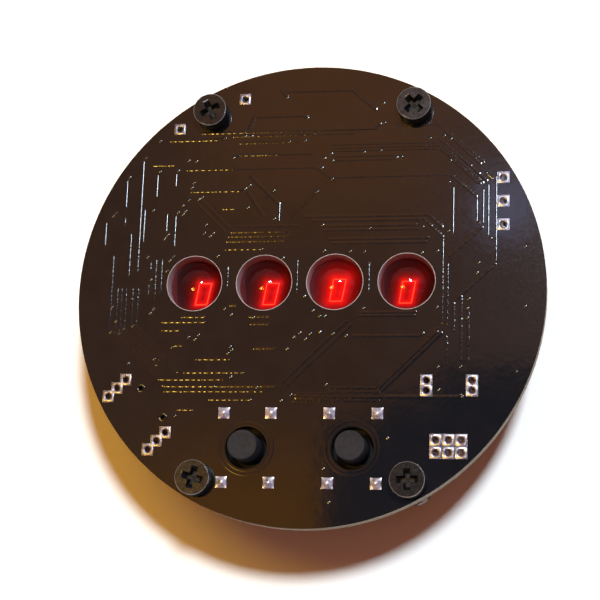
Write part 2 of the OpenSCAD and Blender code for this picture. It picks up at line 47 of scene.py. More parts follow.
# Heights and centres that the new pieces share, read from the frame in mm
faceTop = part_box("face_board")[1].z / mm
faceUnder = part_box("face_board")[0].z / mm
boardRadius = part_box("face_board")[1].x / mm
windowCentres = []
for digit in "1234":
    low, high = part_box("digit_body_" + digit)
    windowCentres.append(((low.x + high.x) / 2 / mm, (low.y + high.y) / 2 / mm))
buttonCentres = {}
for side in ("left", "right"):
    low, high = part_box(side + "_plunger")
    buttonCentres[side] = ((low.x + high.x) / 2 / mm, (low.y + high.y) / 2 / mm)


# Materials

# sRGB hex to the linear colour that shaders take
def linear(hexColour):
    parts = [int(hexColour[i:i + 2], 16) / 255 for i in (1, 3, 5)]
    return [c / 12.92 if c <= 0.04045 else ((c + 0.055) / 1.055) ** 2.4 for c in parts] + [1.0]


# Adds a node, sets its properties, and fills or links its inputs
def addNode(tree, kind, settings=None, inputs=None):
    node = tree.nodes.new(kind)
    for name, value in (settings or {}).items():
        setattr(node, name, value)
    for name, value in (inputs or {}).items():
        socket = node.inputs[name]
        if isinstance(value, bpy.types.NodeSocket):
            tree.links.new(value, socket)
        else:
            socket.default_value = value
    return node


def newMaterial(name, inputs):
    material = bpy.data.materials.new(name)
    material.use_nodes = True
    tree = material.node_tree
    shader = tree.nodes["Principled BSDF"]
    for socket, value in inputs.items():
        shader.inputs[socket].default_value = value
    return material, tree, shader


# Noise on Object coordinates, with the size of its grains in mm
def grain(tree, sizeMm, detail=2.0, stretch=(1, 1, 1)):
    place = addNode(tree, "ShaderNodeTexCoord")
    scaled = addNode(tree, "ShaderNodeMapping", {}, {"Vector": place.outputs["Object"], "Scale": stretch})
    return addNode(tree, "ShaderNodeTexNoise", {}, {
        "Vector": scaled.outputs[0], "Scale": 1 / (sizeMm * mm), "Detail": detail, "Roughness": 0.55})


# Bands across one of the Object axes, with their spacing in mm
def bands(tree, axis, spacingMm, distortion, detailScale=1.0):
    place = addNode(tree, "ShaderNodeTexCoord")
    return addNode(tree, "ShaderNodeTexWave", {"bands_direction": axis}, {
        "Vector": place.outputs["Object"], "Scale": math.tau / 20 / (spacingMm * mm),
        "Distortion": distortion, "Detail": 2.0, "Detail Scale": detailScale})


# The result of a math node on numbers and outputs
def reckon(tree, operation, *values):
    return addNode(tree, "ShaderNodeMath", {"operation": operation}, dict(enumerate(values))).outputs[0]


# The length of a vector
def lengthOf(tree, vector):
    return addNode(tree, "ShaderNodeVectorMath", {"operation": "LENGTH"}, {0: vector}).outputs["Value"]


# The X, Y and Z of a vector
def axesOf(tree, vector):
    return addNode(tree, "ShaderNodeSeparateXYZ", {}, {"Vector": vector}).outputs


# The first colour, turning into the second as the factor goes from 0 to 1
def mixed(tree, factor, first, second):
    return addNode(tree, "ShaderNodeMix", {"data_type": "RGBA"}, {
        "Factor": factor, 6: first, 7: second}).outputs[2]


# The same for two numbers
def mixedValue(tree, factor, first, second):
    return addNode(tree, "ShaderNodeMix", {"data_type": "FLOAT"}, {
        "Factor": factor, 2: first, 3: second}).outputs[0]


# Links noise to a shader's colour, between two colours
def mottle(tree, shader, noise, dark, light, low=0.35, high=0.65):
    ramp = addNode(tree, "ShaderNodeValToRGB", {}, {"Fac": noise.outputs["Fac"]})
    ramp.color_ramp.elements[0].position, ramp.color_ramp.elements[0].color = low, linear(dark)
    ramp.color_ramp.elements[1].position, ramp.color_ramp.elements[1].color = high, linear(light)
    tree.links.new(ramp.outputs["Color"], shader.inputs["Base Color"])
    return ramp


# Links noise to a shader's roughness, between two values
def unevenGloss(tree, shader, noise, low, high):
    spread = addNode(tree, "ShaderNodeMapRange", {}, {
        "Value": noise.outputs["Fac"], "From Min": 0.3, "From Max": 0.7, "To Min": low, "To Max": high})
    tree.links.new(spread.outputs["Result"], shader.inputs["Roughness"])
    return spread


# Links noise to a shader's normal, with the height of the bumps in mm
def bumps(tree, shader, noise, heightMm):
    bump = addNode(tree, "ShaderNodeBump", {}, {
        "Height": noise.outputs["Fac"], "Distance": heightMm * mm, "Strength": 1.0})
    tree.links.new(bump.outputs["Normal"], shader.inputs["Normal"])


# A plain finish: mottled colour, uneven gloss and, where given, bumps, each listed after its grain's settings
def finish(name, inputs, colour, gloss, relief=None):
    material, tree, shader = newMaterial(name, inputs)
    mottle(tree, shader, grain(tree, *colour[0]), *colour[1:])
    unevenGloss(tree, shader, grain(tree, *gloss[0]), *gloss[1:])
    if relief:
        bumps(tree, shader, grain(tree, *relief[0]), relief[1])
    return material


# Black liquid photo-imaged solder mask, curtain coated: a wet gloss, over whatever relief lies beneath
maskLook = {"dark": "#0c0a0b", "light": "#140f10", "mottleMm": 2.5, "glossMm": 0.25,
            "roughness": (0.05, 0.08), "peelMm": 0.9, "peelHeightMm": 0.003, "drapeHeightMm": 0.009}


def maskMaterial(name):
    material, tree, shader = newMaterial(name, {"IOR": 1.5})
    mottle(tree, shader, grain(tree, maskLook["mottleMm"]), maskLook["dark"], maskLook["light"])
    unevenGloss(tree, shader, grain(tree, maskLook["glossMm"], 3), *maskLook["roughness"])
    return material, tree, shader


# On the flat, with slow orange peel
solderMask, tree, shader = maskMaterial("black glossy solder mask")
bumps(tree, shader, grain(tree, maskLook["peelMm"], 1), maskLook["peelHeightMm"])

# The same mask where it drapes over copper: it ripples with the etched edge beneath
rippledMask, tree, shader = maskMaterial("solder mask draped over copper")
bumps(tree, shader, grain(tree, 0.3, 1), maskLook["drapeHeightMm"])

# And over tinned copper, which beads every 0.6 mm along the level tracks
beadedMask, tree, shader = maskMaterial("solder mask draped over beaded copper")
bumps(tree, shader, bands(tree, "X", 0.6, 4.0, 4.0), maskLook["drapeHeightMm"])

# Woven glass-epoxy laminate where a router cut it: pale, chalky, in layers of glass bundles
laminate = {"layerMm": 0.17, "distortion": 2.0, "roughness": 0.6, "edgeMm": 0.5}
cutLaminate, tree, shader = newMaterial("routed glass-epoxy laminate", {
    "Roughness": laminate["roughness"], "IOR": 1.5})
layers = bands(tree, "Z", laminate["layerMm"], laminate["distortion"], 1.5)
mottle(tree, shader, layers, "#a2959c", "#c8bcc4", 0.2, 0.8)
bumps(tree, shader, grain(tree, 0.06, 3), 0.01)

# Both boards: glossy mask on the faces, dull walls, and bare laminate round the face board's edge
faceBoardLook, tree, shader = maskMaterial("face board, masked with a routed edge")
maskColour, maskGloss = (shader.inputs[name].links[0].from_socket for name in ("Base Color", "Roughness"))
layers = bands(tree, "Z", laminate["layerMm"], laminate["distortion"])
edgeColour = addNode(tree, "ShaderNodeValToRGB", {}, {"Fac": layers.outputs["Fac"]})
edgeColour.color_ramp.elements[0].color = linear("#8d8877")
edgeColour.color_ramp.elements[1].color = linear("#c9c3b4")
facing = axesOf(tree, addNode(tree, "ShaderNodeNewGeometry").outputs["True Normal"])
sideways = reckon(tree, "LESS_THAN", reckon(tree, "ABSOLUTE", facing["Z"]), 0.5)
flat = addNode(tree, "ShaderNodeVectorMath", {"operation": "MULTIPLY"}, {
    0: addNode(tree, "ShaderNodeTexCoord").outputs["Object"], 1: (1, 1, 0)})
fromCentre = lengthOf(tree, flat.outputs["Vector"])
outside = reckon(tree, "GREATER_THAN", fromCentre, (boardRadius - laminate["edgeMm"]) * mm)
isEdge = reckon(tree, "MULTIPLY", sideways, outside)
tree.links.new(mixed(tree, isEdge, maskColour, edgeColour.outputs["Color"]), shader.inputs["Base Color"])
tree.links.new(mixedValue(tree, sideways, maskGloss, laminate["roughness"]), shader.inputs["Roughness"])
bumps(tree, shader, grain(tree, maskLook["peelMm"], 1), maskLook["peelHeightMm"])

# Hot-air levelled tin: bright, soft, pooled unevenly over each land
levelledTin = finish("hot-air levelled tin", {"Metallic": 1.0},
                     colour=([0.35], "#706b74", "#8e8892"), gloss=([0.2, 3], 0.26, 0.38),
                     relief=([0.3, 2], 0.02))

# Solder, cooled in air: bright, with a grey frost
cooledSolder = finish("air-cooled solder fillet", {"Metallic": 1.0},
                      colour=([0.25], "#b4acb6", "#e2dde8"), gloss=([0.2, 3], 0.36, 0.48),
                      relief=([0.3, 2], 0.012))

# Clear red epoxy, cast: polished lens with a slight tint at each surface and a film of dust
clearRedEpoxy, tree, shader = newMaterial("clear red cast epoxy", {
    "Base Color": linear("#ff4a3a"), "Roughness": 0.02, "IOR": 1.55, "Transmission Weight": 1.0,
    "Specular Tint": (0.4, 0.34, 0.38, 1), "Sheen Weight": 0.15, "Sheen Roughness": 0.5,
    "Sheen Tint": (0.9, 0.85, 0.95, 1)})

# The display's body is the same epoxy, dark, with a faint red emission as painted glow for the digit's light
# scattered through it
paintedGlowBody = finish("red epoxy body, moulded, with a painted glow", {
    "IOR": 1.55, "Specular IOR Level": 0.15,
    "Emission Color": (0.06, 0.0025, 0.004, 1), "Emission Strength": 1.1},
    colour=([1.2], "#2c0508", "#40080a"), gloss=([0.4], 0.15, 0.3))

# Lit junction of gallium arsenide phosphide: a thin saturated line
litJunction, tree, shader = newMaterial("lit red junction", {
    "Base Color": linear("#400000"), "Emission Color": (1.0, 0.15, 0.07, 1), "Emission Strength": 2.8})
mottle(tree, shader, grain(tree, 0.2), "#400000", "#600500")

# Plated chip carrier with a painted red glow for the light of the digit on it: an emission that falls off
# with the distance to the lit outline, from the piece's UV, in mm from the digit's centre
glowLook = {
    "halfWide": 0.39, "halfTall": 0.71, "lean": 0.176, "inward": 0.55, "strength": 1.2,
    "tint": (1, 0.012, 0.01),
    "stops": [(0, 1.0), (0.06, 0.68), (0.13, 0.38), (0.23, 0.17), (0.38, 0.07), (0.6, 0.026), (1, 0.01)]}
paintedGlowCarrier, tree, shader = newMaterial("plated chip carrier with a painted red glow", {
    "Roughness": 0.6, "Specular IOR Level": 0.0})
uv = axesOf(tree, addNode(tree, "ShaderNodeUVMap", {"uv_map": "mmFromDigit"}).outputs["UV"])
upright = reckon(tree, "MULTIPLY_ADD", uv["Y"], -glowLook["lean"], uv["X"])
beside = reckon(tree, "SUBTRACT", reckon(tree, "ABSOLUTE", upright), glowLook["halfWide"])
above = reckon(tree, "SUBTRACT", reckon(tree, "ABSOLUTE", uv["Y"]), glowLook["halfTall"])
corner = addNode(tree, "ShaderNodeCombineXYZ", {}, {
    "X": reckon(tree, "MAXIMUM", beside, 0), "Y": reckon(tree, "MAXIMUM", above, 0)})
outside = lengthOf(tree, corner.outputs[0])
inside = reckon(tree, "MINIMUM", reckon(tree, "MAXIMUM", beside, above), 0)
inside = reckon(tree, "MULTIPLY", inside, glowLook["inward"])
toOutline = reckon(tree, "ABSOLUTE", reckon(tree, "ADD", outside, inside))
reach = addNode(tree, "ShaderNodeAttribute", {"attribute_name": "glowReach"})
glow = addNode(tree, "ShaderNodeValToRGB", {}, {
    "Fac": reckon(tree, "DIVIDE", toOutline, reach.outputs["Fac"])})
for i, (position, share) in enumerate(glowLook["stops"]):
    stop = glow.color_ramp.elements[i] if i in (0, 1) else glow.color_ramp.elements.new(position)
    stop.position, stop.color = position, (*(share * part for part in glowLook["tint"]), 1)
mottle(tree, shader, grain(tree, 0.4), "#1a0204", "#280506")
# Painted glow: the emission stands in for the digit's light on the carrier
tree.links.new(glow.outputs["Color"], shader.inputs["Emission Color"])
shader.inputs["Emission Strength"].default_value = glowLook["strength"]

# Glass-filled nylon, moulded: dark grey, matt, faintly blotched
plungerNylon = finish("glass-filled nylon, moulded", {"IOR": 1.52, "Specular IOR Level": 0.3},
                      colour=([0.5, 4], "#1b1b21", "#27272f"), gloss=([0.3, 3], 0.62, 0.75),
                      relief=([0.08, 3], 0.006))

# Steel with a black oxide finish: oily satin on top of the heads
blackOxide, tree, shader = newMaterial("black oxide steel", {"IOR": 1.5, "Specular IOR Level": 0.35})
oxide = mottle(tree, shader, grain(tree, 0.6, 3), "#141214", "#211e20")
satin = unevenGloss(tree, shader, grain(tree, 0.25, 3), 0.12, 0.2)
bumps(tree, shader, grain(tree, 0.1, 3), 0.002)
# The oxide is rubbed off the rounded edges, and stays dull down in the recess and round the side, where its
# colour is also darkened as painted shade
wear = {"brightAbove": 1.2, "dullBelow": 1.05, "dullRoughness": 0.6, "levelNormal": 0.97,
        "roundedNormal": 0.85, "paintedShadeColour": "#050405", "bareColour": "#a8a09e"}
level = axesOf(tree, addNode(tree, "ShaderNodeTexCoord").outputs["Object"])
dullAndShaded = addNode(tree, "ShaderNodeMapRange", {}, {
    "Value": level["Z"], "From Min": (faceTop + wear["brightAbove"]) * mm,
    "From Max": (faceTop + wear["dullBelow"]) * mm}).outputs["Result"]
dullGloss = mixedValue(tree, dullAndShaded, satin.outputs["Result"], wear["dullRoughness"])
tree.links.new(dullGloss, shader.inputs["Roughness"])
tilt = axesOf(tree, addNode(tree, "ShaderNodeNewGeometry").outputs["Normal"])
rounded = addNode(tree, "ShaderNodeMapRange", {}, {
    "Value": tilt["Z"], "From Min": wear["levelNormal"], "From Max": wear["roundedNormal"]})
worn = addNode(tree, "ShaderNodeMath", {"operation": "MULTIPLY_ADD", "use_clamp": True}, {
    0: dullAndShaded, 1: -4.0, 2: rounded.outputs["Result"]}).outputs[0]
tree.links.new(worn, shader.inputs["Metallic"])
# Painted shade: the colour goes near-black down in the recess and round the side
shadedLow = mixed(tree, dullAndShaded, oxide.outputs["Color"], linear(wear["paintedShadeColour"]))
tree.links.new(mixed(tree, worn, shadedLow, linear(wear["bareColour"])), shader.inputs["Base Color"])

# Brass spacer with bright nickel, turned: fine rings round its axis
nickelBrass = finish("nickel-plated turned brass", {"Metallic": 1.0},
                     colour=([0.15, 2, (0.1, 0.1, 1)], "#b8b0ba", "#d3cbd6"), gloss=([0.4], 0.2, 0.35))

# Rolled sheet steel, bright tinned: faint streaks along the strip
rolledSteel = finish("bright rolled steel", {"Metallic": 1.0},
                     colour=([0.25, 3, (1, 0.08, 1)], "#9c9ea0", "#bfc1c2"),
                     gloss=([0.3, 2, (1, 0.1, 1)], 0.25, 0.4))

# Switch cover: sheet steel coloured near-black as painted shade for the gap round each plunger, with the
# brushed grain just felt through it
shadeBlackSteel = finish("near-black sheet steel as painted shade", {"IOR": 1.5, "Specular IOR Level": 0.15},
                        colour=([0.4, 3], "#0a0a0b", "#131315"), gloss=([0.3, 2, (1, 0.1, 1)], 0.5, 0.6))

# Stainless coin cell, stamped: satin, faintly blotched
stampedStainless = finish("stamped stainless steel", {"Metallic": 1.0},
                          colour=([0.8, 3], "#aeb0b2", "#cbccce"), gloss=([0.15, 3], 0.2, 0.34),
                          relief=([0.2, 2], 0.003))

# Tinned copper-alloy leads, matt
tinnedLead = finish("matt tinned lead", {"Metallic": 1.0},
                    colour=([0.3, 3], "#a8a8aa", "#cfcfd1"), gloss=([0.2, 2], 0.3, 0.45))

# Transfer-moulded epoxy package: charcoal with filler speckle 0.05 mm across
mouldedPackage = finish("transfer-moulded epoxy package", {"IOR": 1.5},
                        colour=([0.05, 2], "#1b1b1d", "#2c2b2d"), gloss=([0.2, 2], 0.45, 0.6),
                        relief=([0.06, 2], 0.004))

# Liquid crystal polymer for connectors and switch bases: black, dry, with flow marks
connectorPolymer = finish("liquid crystal polymer, moulded", {"IOR": 1.6},
                          colour=([0.4, 3, (1, 0.2, 1)], "#161617", "#242325"),
                          gloss=([0.3, 2], 0.4, 0.55))

# Contacts: hard gold, faintly blotched
goldPlate = finish("hard gold plate", {"Metallic": 1.0},
                   colour=([0.3, 2], "#b98e3a", "#d9b25a"), gloss=([0.2, 2], 0.2, 0.3))

# Chip resistors: a thick glassy coat
resistorGlaze = finish("black overglaze on alumina", {"IOR": 1.5},
                       colour=([0.3, 2], "#141416", "#232327"), gloss=([0.2, 2], 0.15, 0.25))

# Supply capacitors: yellow epoxy mould
tantalumMould = finish("amber moulded capacitor", {"IOR": 1.5},
                       colour=([0.3, 2], "#b8791f", "#cc8f33"), gloss=([0.2, 2], 0.35, 0.5))

# Coin cell's seal: waxy nylon
sealPolymer = finish("grey nylon seal", {"IOR": 1.52},
                     colour=([0.3, 2], "#34373c", "#474a50"), gloss=([0.2, 2], 0.4, 0.5))

nodeLooks = {
    "face_board": faceBoardLook, "rear_board": faceBoardLook, "header_pads": levelledTin,
    "spacers": nickelBrass, "cell_clip": rolledSteel, "cell_contact": goldPlate, "cell_can": stampedStainless,
    "cell_cap": stampedStainless, "cell_seal": sealPolymer, "cell_filling": sealPolymer,
    "microcontroller": mouldedPackage, "clock_crystal": stampedStainless,
    "segment_resistors": resistorGlaze, "digit_transistors": mouldedPackage,
    "connector_socket": connectorPolymer, "connector_header": connectorPolymer,
    "connector_pins": goldPlate, "supply_capacitors": tantalumMould, "polarity_diode": mouldedPackage}
endingLooks = {"base": connectorPolymer, "cover": shadeBlackSteel, "dome": rolledSteel}
for name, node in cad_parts.items():
    look = nodeLooks.get(name) or endingLooks.get(name.split("_")[-1], tinnedLead)
    node.data.materials.clear()
    node.data.materials.append(look)
print("materials made:", len(bpy.data.materials))


# Modelling

def deselect():
    if bpy.context.mode != "OBJECT":
        bpy.ops.object.mode_set(mode="OBJECT")
    bpy.ops.object.select_all(action="DESELECT")


# Makes obj active and selected alone, in object mode
def take(obj):
    deselect()
    obj.select_set(True)
    bpy.context.view_layer.objects.active = obj
    return obj


def applyPlace(obj):
    take(obj)
    bpy.ops.object.transform_apply(location=True, rotation=True, scale=True)
    return obj


# Edit mode on obj with the faces that pass a test of their centre and normal, in mm
def pickFaces(obj, test):
    take(obj)
    bpy.ops.object.mode_set(mode="EDIT")
    bpy.ops.mesh.select_mode(type="FACE")
    bpy.ops.mesh.select_all(action="DESELECT")
    mesh = bmesh.from_edit_mesh(obj.data)
    for face in mesh.faces:
        face.select_set(test(face.calc_center_median() / mm, face.normal))
    bmesh.update_edit_mesh(obj.data)


# Edit mode on obj with the edges whose two ends pass a test, in mm
def pickEdges(obj, test):
    take(obj)
    bpy.ops.object.mode_set(mode="EDIT")
    bpy.ops.mesh.select_mode(type="EDGE")
    bpy.ops.mesh.select_all(action="DESELECT")
    mesh = bmesh.from_edit_mesh(obj.data)
    for edge in mesh.edges:
        edge.select_set(all(test(v.co / mm) for v in edge.verts))
    bmesh.update_edit_mesh(obj.data)


# Cleans up a shell that was spun, bridged or joined
def closeShell(obj, mergeMm=0.0005):
    take(obj)
    bpy.ops.object.mode_set(mode="EDIT")
    bpy.ops.mesh.select_all(action="SELECT")
    bpy.ops.mesh.remove_doubles(threshold=mergeMm * mm)
    bpy.ops.mesh.normals_make_consistent(inside=False)
    bpy.ops.object.mode_set(mode="OBJECT")
    return obj


# Turns a profile of (radius, height) points in mm round the Z axis
def turned(name, profile, steps=64):
    mesh = bpy.data.meshes.new(name)
    edges = [(i, i + 1) for i in range(len(profile) - 1)]
    mesh.from_pydata([(r * mm, 0, z * mm) for r, z in profile], edges, [])
    obj = bpy.data.objects.new(name, mesh)
    bpy.context.scene.collection.objects.link(obj)
    take(obj)
    bpy.ops.object.mode_set(mode="EDIT")
    bpy.ops.mesh.select_all(action="SELECT")
    bpy.ops.mesh.spin(steps=steps, angle=math.tau, center=(0, 0, 0), axis=(0, 0, 1))
    bpy.ops.object.mode_set(mode="OBJECT")
    return closeShell(obj)


# Profile points of a rounded outer edge whose top is at a radius and height, at angles in degrees
def roundedEdge(radius, top, rounding, angles):
    turns = [math.radians(angle) for angle in angles]
    return [(radius - rounding * (1 - math.cos(a)), top - rounding * (1 - math.sin(a))) for a in turns]


# Adds a box from its size and centre in mm
def box(name, size, centre):
    deselect()
    bpy.ops.mesh.primitive_cube_add(size=1, location=[c * mm for c in centre])
    obj = bpy.context.object
    obj.name = name
    obj.scale = [s * mm for s in size]
    return applyPlace(obj)


def applyModifier(obj, kind, **settings):
    take(obj)
    modifier = obj.modifiers.new(kind.title(), kind)
    for name, value in settings.items():
        setattr(modifier, name, value)
    bpy.ops.object.modifier_apply(modifier=modifier.name)
    return obj


# Cuts other objects out of obj and deletes them
def cutOut(obj, *cutters):
    for cutter in cutters:
        applyModifier(obj, "BOOLEAN", operation="DIFFERENCE", object=cutter, solver="EXACT")
        bpy.data.objects.remove(cutter)
    return obj


# A copy with its own mesh, turned in degrees about its own origin and moved in mm
def copyOf(obj, name, move=(0, 0, 0), turn=0):
    new = obj.copy()
    new.data = obj.data.copy()
    new.name = new.data.name = name
    bpy.context.scene.collection.objects.link(new)
    new.data.transform(Matrix.Translation(Vector(move) * mm) @ Matrix.Rotation(math.radians(turn), 4, "Z"))
    return new


# Bevels the edges picked in edit mode, and leaves edit mode
def bevelPicked(widthMm):
    bpy.ops.mesh.bevel(offset=widthMm * mm, segments=2, affect="EDGES")
    bpy.ops.object.mode_set(mode="OBJECT")


# Bevels every edge sharper than an angle in degrees
def bevelSharp(obj, widthMm, segments, sharpAngle):
    return applyModifier(obj, "BEVEL", width=widthMm * mm, segments=segments, limit_method="ANGLE",
                         angle_limit=math.radians(sharpAngle))


def joined(name, parts):
    take(parts[0])
    for part in parts:
        part.select_set(True)
    bpy.ops.object.join()
    obj = bpy.context.object
    obj.name = obj.data.name = name
    return obj


# Last step for a piece: smooth shading, material, body, and hiding the frame's parts that it replaces
def finishPiece(obj, name, look, body="root", replaces=(), angle=35):
    take(obj)
    obj.name = obj.data.name = name
    bpy.ops.object.shade_smooth_by_angle(angle=math.radians(angle))
    obj.data.materials.clear()
    obj.data.materials.append(look)
    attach(obj, body)
    if replaces:
        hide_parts(*replaces)
    return obj


# Displays: a domed lens over a body, with the lit digit on its carrier below
display = {
    "lensRadius": 2.5, "rim": 0.3, "rise": 1.1, "lensFoot": 6.87, "steps": 96,
    "body": (6.3, 8.6, 2.4), "bevel": 0.1, "pocket": (3.4, 4.4, 1.2), "wellSide": 0.01, "wellFloor": 0.02,
    "wellAbove": 0.5,
    "numeral": (0.84, 1.48), "stroke": 0.052, "strokeGap": 0.02, "strokeHeight": 0.04, "strokeLift": 0.003,
    "strokeBevel": 0.012, "slant": 10, "carrierTop": 6.8, "carrierThick": 0.004, "carrierGap": 0.04,
    "carrierInsets": (0.15, 0.5), "digitPlaces": [(0.05, -0.17), (0, -0.2), (-0.165, 0), (-0.22, -0.18)],
    "glowReach": [1.5, 1.8, 3.0, 1.7]}

rimHeight = faceUnder + display["rim"]
sphereRadius = (display["lensRadius"] ** 2 + display["rise"] ** 2) / (2 * display["rise"])
deselect()
bpy.ops.mesh.primitive_uv_sphere_add(
    segments=display["steps"], ring_count=display["steps"], radius=sphereRadius * mm,
    location=(0, 0, (rimHeight + display["rise"] - sphereRadius) * mm))
lens = applyPlace(bpy.context.object)
bpy.ops.object.mode_set(mode="EDIT")
bpy.ops.mesh.select_all(action="SELECT")
bpy.ops.mesh.bisect(plane_co=(0, 0, rimHeight * mm), plane_no=(0, 0, 1), clear_inner=True, use_fill=False)
bpy.ops.object.mode_set(mode="OBJECT")
pickEdges(lens, lambda p: abs(p.z - rimHeight) < 0.0005)
downToFoot = (0, 0, (display["lensFoot"] - rimHeight) * mm)
bpy.ops.mesh.extrude_edges_move(TRANSFORM_OT_translate={"value": downToFoot})
bpy.ops.mesh.edge_face_add()
bpy.ops.object.mode_set(mode="OBJECT")
closeShell(lens)

width, length, height = display["body"]
body = box("displayBody", (width, length, height), (0, 0, faceUnder - height / 2))
pickEdges(body, lambda p: True)
bevelPicked(display["bevel"])
wellRadius = display["lensRadius"] + display["wellSide"]
wellFloor = display["lensFoot"] + display["wellFloor"]
wellTop = faceUnder + display["wellAbove"]
well = turned("lensWell", [(0, wellFloor), (wellRadius, wellFloor), (wellRadius, wellTop), (0, wellTop)],
              display["steps"])
pocket = box("chipPocket", display["pocket"], (0, 0, faceUnder - height))
cutOut(body, well, pocket)

# The six lit strokes, leaning to the right
halfWide, halfTall = display["numeral"][0] / 2, display["numeral"][1] / 2
stroke, gap = display["stroke"], display["strokeGap"]
strokeZ = display["carrierTop"] + display["strokeHeight"] / 2 + display["strokeLift"]
lean = Matrix.Identity(4)
lean[0][1] = math.tan(math.radians(display["slant"]))


def strokeBox(name, x0, y0, x1, y1):
    piece = box(name, (x1 - x0, y1 - y0, display["strokeHeight"]), ((x0 + x1) / 2, (y0 + y1) / 2, strokeZ))
    pickEdges(piece, lambda p: p.z > strokeZ)
    bevelPicked(display["strokeBevel"])
    piece.data.transform(lean)
    return piece


inner = halfWide - stroke - gap
litParts = [strokeBox("top", -inner, halfTall - stroke, inner, halfTall),
            strokeBox("bottom", -inner, -halfTall, inner, -halfTall + stroke)]
for x in (-halfWide, halfWide - stroke):
    for y in (-halfTall + gap, gap):
        litParts.append(strokeBox("side", x, y, x + stroke, y + halfTall - 2 * gap))
litStrokes = joined("litStrokes", litParts)

# The carrier in the pocket: a thin flat plate, with its UV in mm from the digit's centre
carrierWidth, carrierLength = (side - display["carrierGap"] for side in display["pocket"][:2])
carrier = box("carrier", (carrierWidth, carrierLength, display["carrierThick"]),
              (0, 0, display["carrierTop"] + display["carrierThick"] / 2))
pickFaces(carrier, lambda c, n: n.z > 0.5)
for inset in display["carrierInsets"]:
    bpy.ops.mesh.inset(thickness=inset * mm)
bpy.ops.object.mode_set(mode="OBJECT")
carrier.data.uv_layers.new(name="mmFromDigit")
carrier.data.attributes.new("glowReach", "FLOAT", "POINT")

for i, (x, y) in enumerate(windowCentres):
    n = str(i + 1)
    dx, dy = display["digitPlaces"][i]
    finishPiece(copyOf(lens, "l", (x, y, 0)), "displayLens" + n, clearRedEpoxy, angle=60)
    finishPiece(copyOf(body, "b", (x, y, 0)), "displayBody" + n, paintedGlowBody,
                replaces=["digit_body_" + n])
    finishPiece(copyOf(litStrokes, "s", (x + dx, y + dy, 0)), "litStrokes" + n, litJunction,
                replaces=["digit_strokes_" + n])
    plate = finishPiece(copyOf(carrier, "c", (x, y, 0)), "chipCarrier" + n, paintedGlowCarrier)
    for loop in plate.data.loops:
        co = plate.data.vertices[loop.vertex_index].co
        plate.data.uv_layers["mmFromDigit"].data[loop.index].uv = (co.x / mm - x - dx, co.y / mm - y - dy)
    for value in plate.data.attributes["glowReach"].data:
        value.value = display["glowReach"][i]
for source in (lens, body, litStrokes, carrier):
    bpy.data.objects.remove(source)
print("displays modelled")

# Window linings: the bare laminate wall of each window, with a thin pale line where the mask stops
lining = {"radius": 2.7, "wall": 0.04, "lip": 0.012, "foot": 0.02, "below": 0.04}
r, w, lip, foot = lining["radius"], lining["wall"], lining["lip"], faceUnder + lining["foot"]
profile = [(r + w, foot), (r + w, faceTop + lip * 0.5), (r + w * 0.5, faceTop + lip),
           (r - w * 0.3, faceTop + lip * 0.6), (r - w * 0.6, faceTop - lining["below"]),
           (r - w * 0.6, foot), (r + w, foot)]
ring = turned("ring", profile, display["steps"])
for i, (x, y) in enumerate(windowCentres):
    finishPiece(copyOf(ring, "w", (x, y, 0)), "windowLining" + str(i + 1), cutLaminate)
bpy.data.objects.remove(ring)
print("windows lined")

# Screws: pan heads with a rounded rim and a cross recess whose wings taper down
screw = {"places": [(-10, -18, -15), (10, -18, 2), (-10, 18, 27), (10, 18, 45)], "radius": 1.64,
         "height": 1.3, "rim": 0.09, "foot": 0.05, "shank": 1.0, "shankBevel": 0.15, "length": 3.0,
         "edge": 0.04, "span": 2.36, "wing": 0.72, "depth": 0.8, "taper": (0.55, 0.62, 1),
         "wingBevel": 0.06, "wingInner": 0.4, "above": 0.2, "centre": (0.2, 0.48), "centreDepth": 0.12}
r, top, bottom = screw["radius"], faceTop + screw["height"], faceTop - screw["length"]
shank, shankBevel = screw["shank"], screw["shankBevel"]
profile = [(0, bottom), (shank - shankBevel, bottom), (shank, bottom + shankBevel), (shank, faceTop),
           (r - screw["foot"], faceTop), (r, faceTop + screw["foot"]), (r, top - screw["rim"])]
profile += roundedEdge(r, top, screw["rim"], (22, 45, 68, 90)) + [(0, top)]
head = turned("screwHead", profile, 64)
wing = box("wing", (screw["span"], screw["wing"], screw["depth"] + screw["above"]),
           (0, 0, top + (screw["above"] - screw["depth"]) / 2))
pickFaces(wing, lambda c, n: n.z < -0.5)
bpy.ops.transform.resize(value=screw["taper"], center_override=(0, 0, 0))
bpy.ops.object.mode_set(mode="OBJECT")
pickEdges(wing, lambda p: abs(p.x) > screw["wingInner"] and abs(p.z - top) > 0.01)
bevelPicked(screw["wingBevel"])
otherWing = copyOf(wing, "otherWing", turn=90)
recessFloor, recessTop = top - screw["depth"], top + screw["above"]
profile = [(0, recessFloor - screw["centreDepth"]), (screw["centre"][0], recessFloor),
           (screw["centre"][1], recessTop), (0, recessTop)]
cutOut(head, wing, otherWing, turned("recessCentre", profile, 24))
bevelSharp(head, screw["edge"], 3, 50)
for i, (x, y, turn) in enumerate(screw["places"]):
    piece = finishPiece(copyOf(head, "h", (x, y, 0), turn), "faceScrew" + str(i + 1), blackOxide,
                        replaces=["face_screws"] if i == 0 else ())
    # The level top is shaded flat
    for face in piece.data.polygons:
        if face.normal.z > 0.999:
            face.use_smooth = False
bpy.data.objects.remove(head)
print("screws modelled")

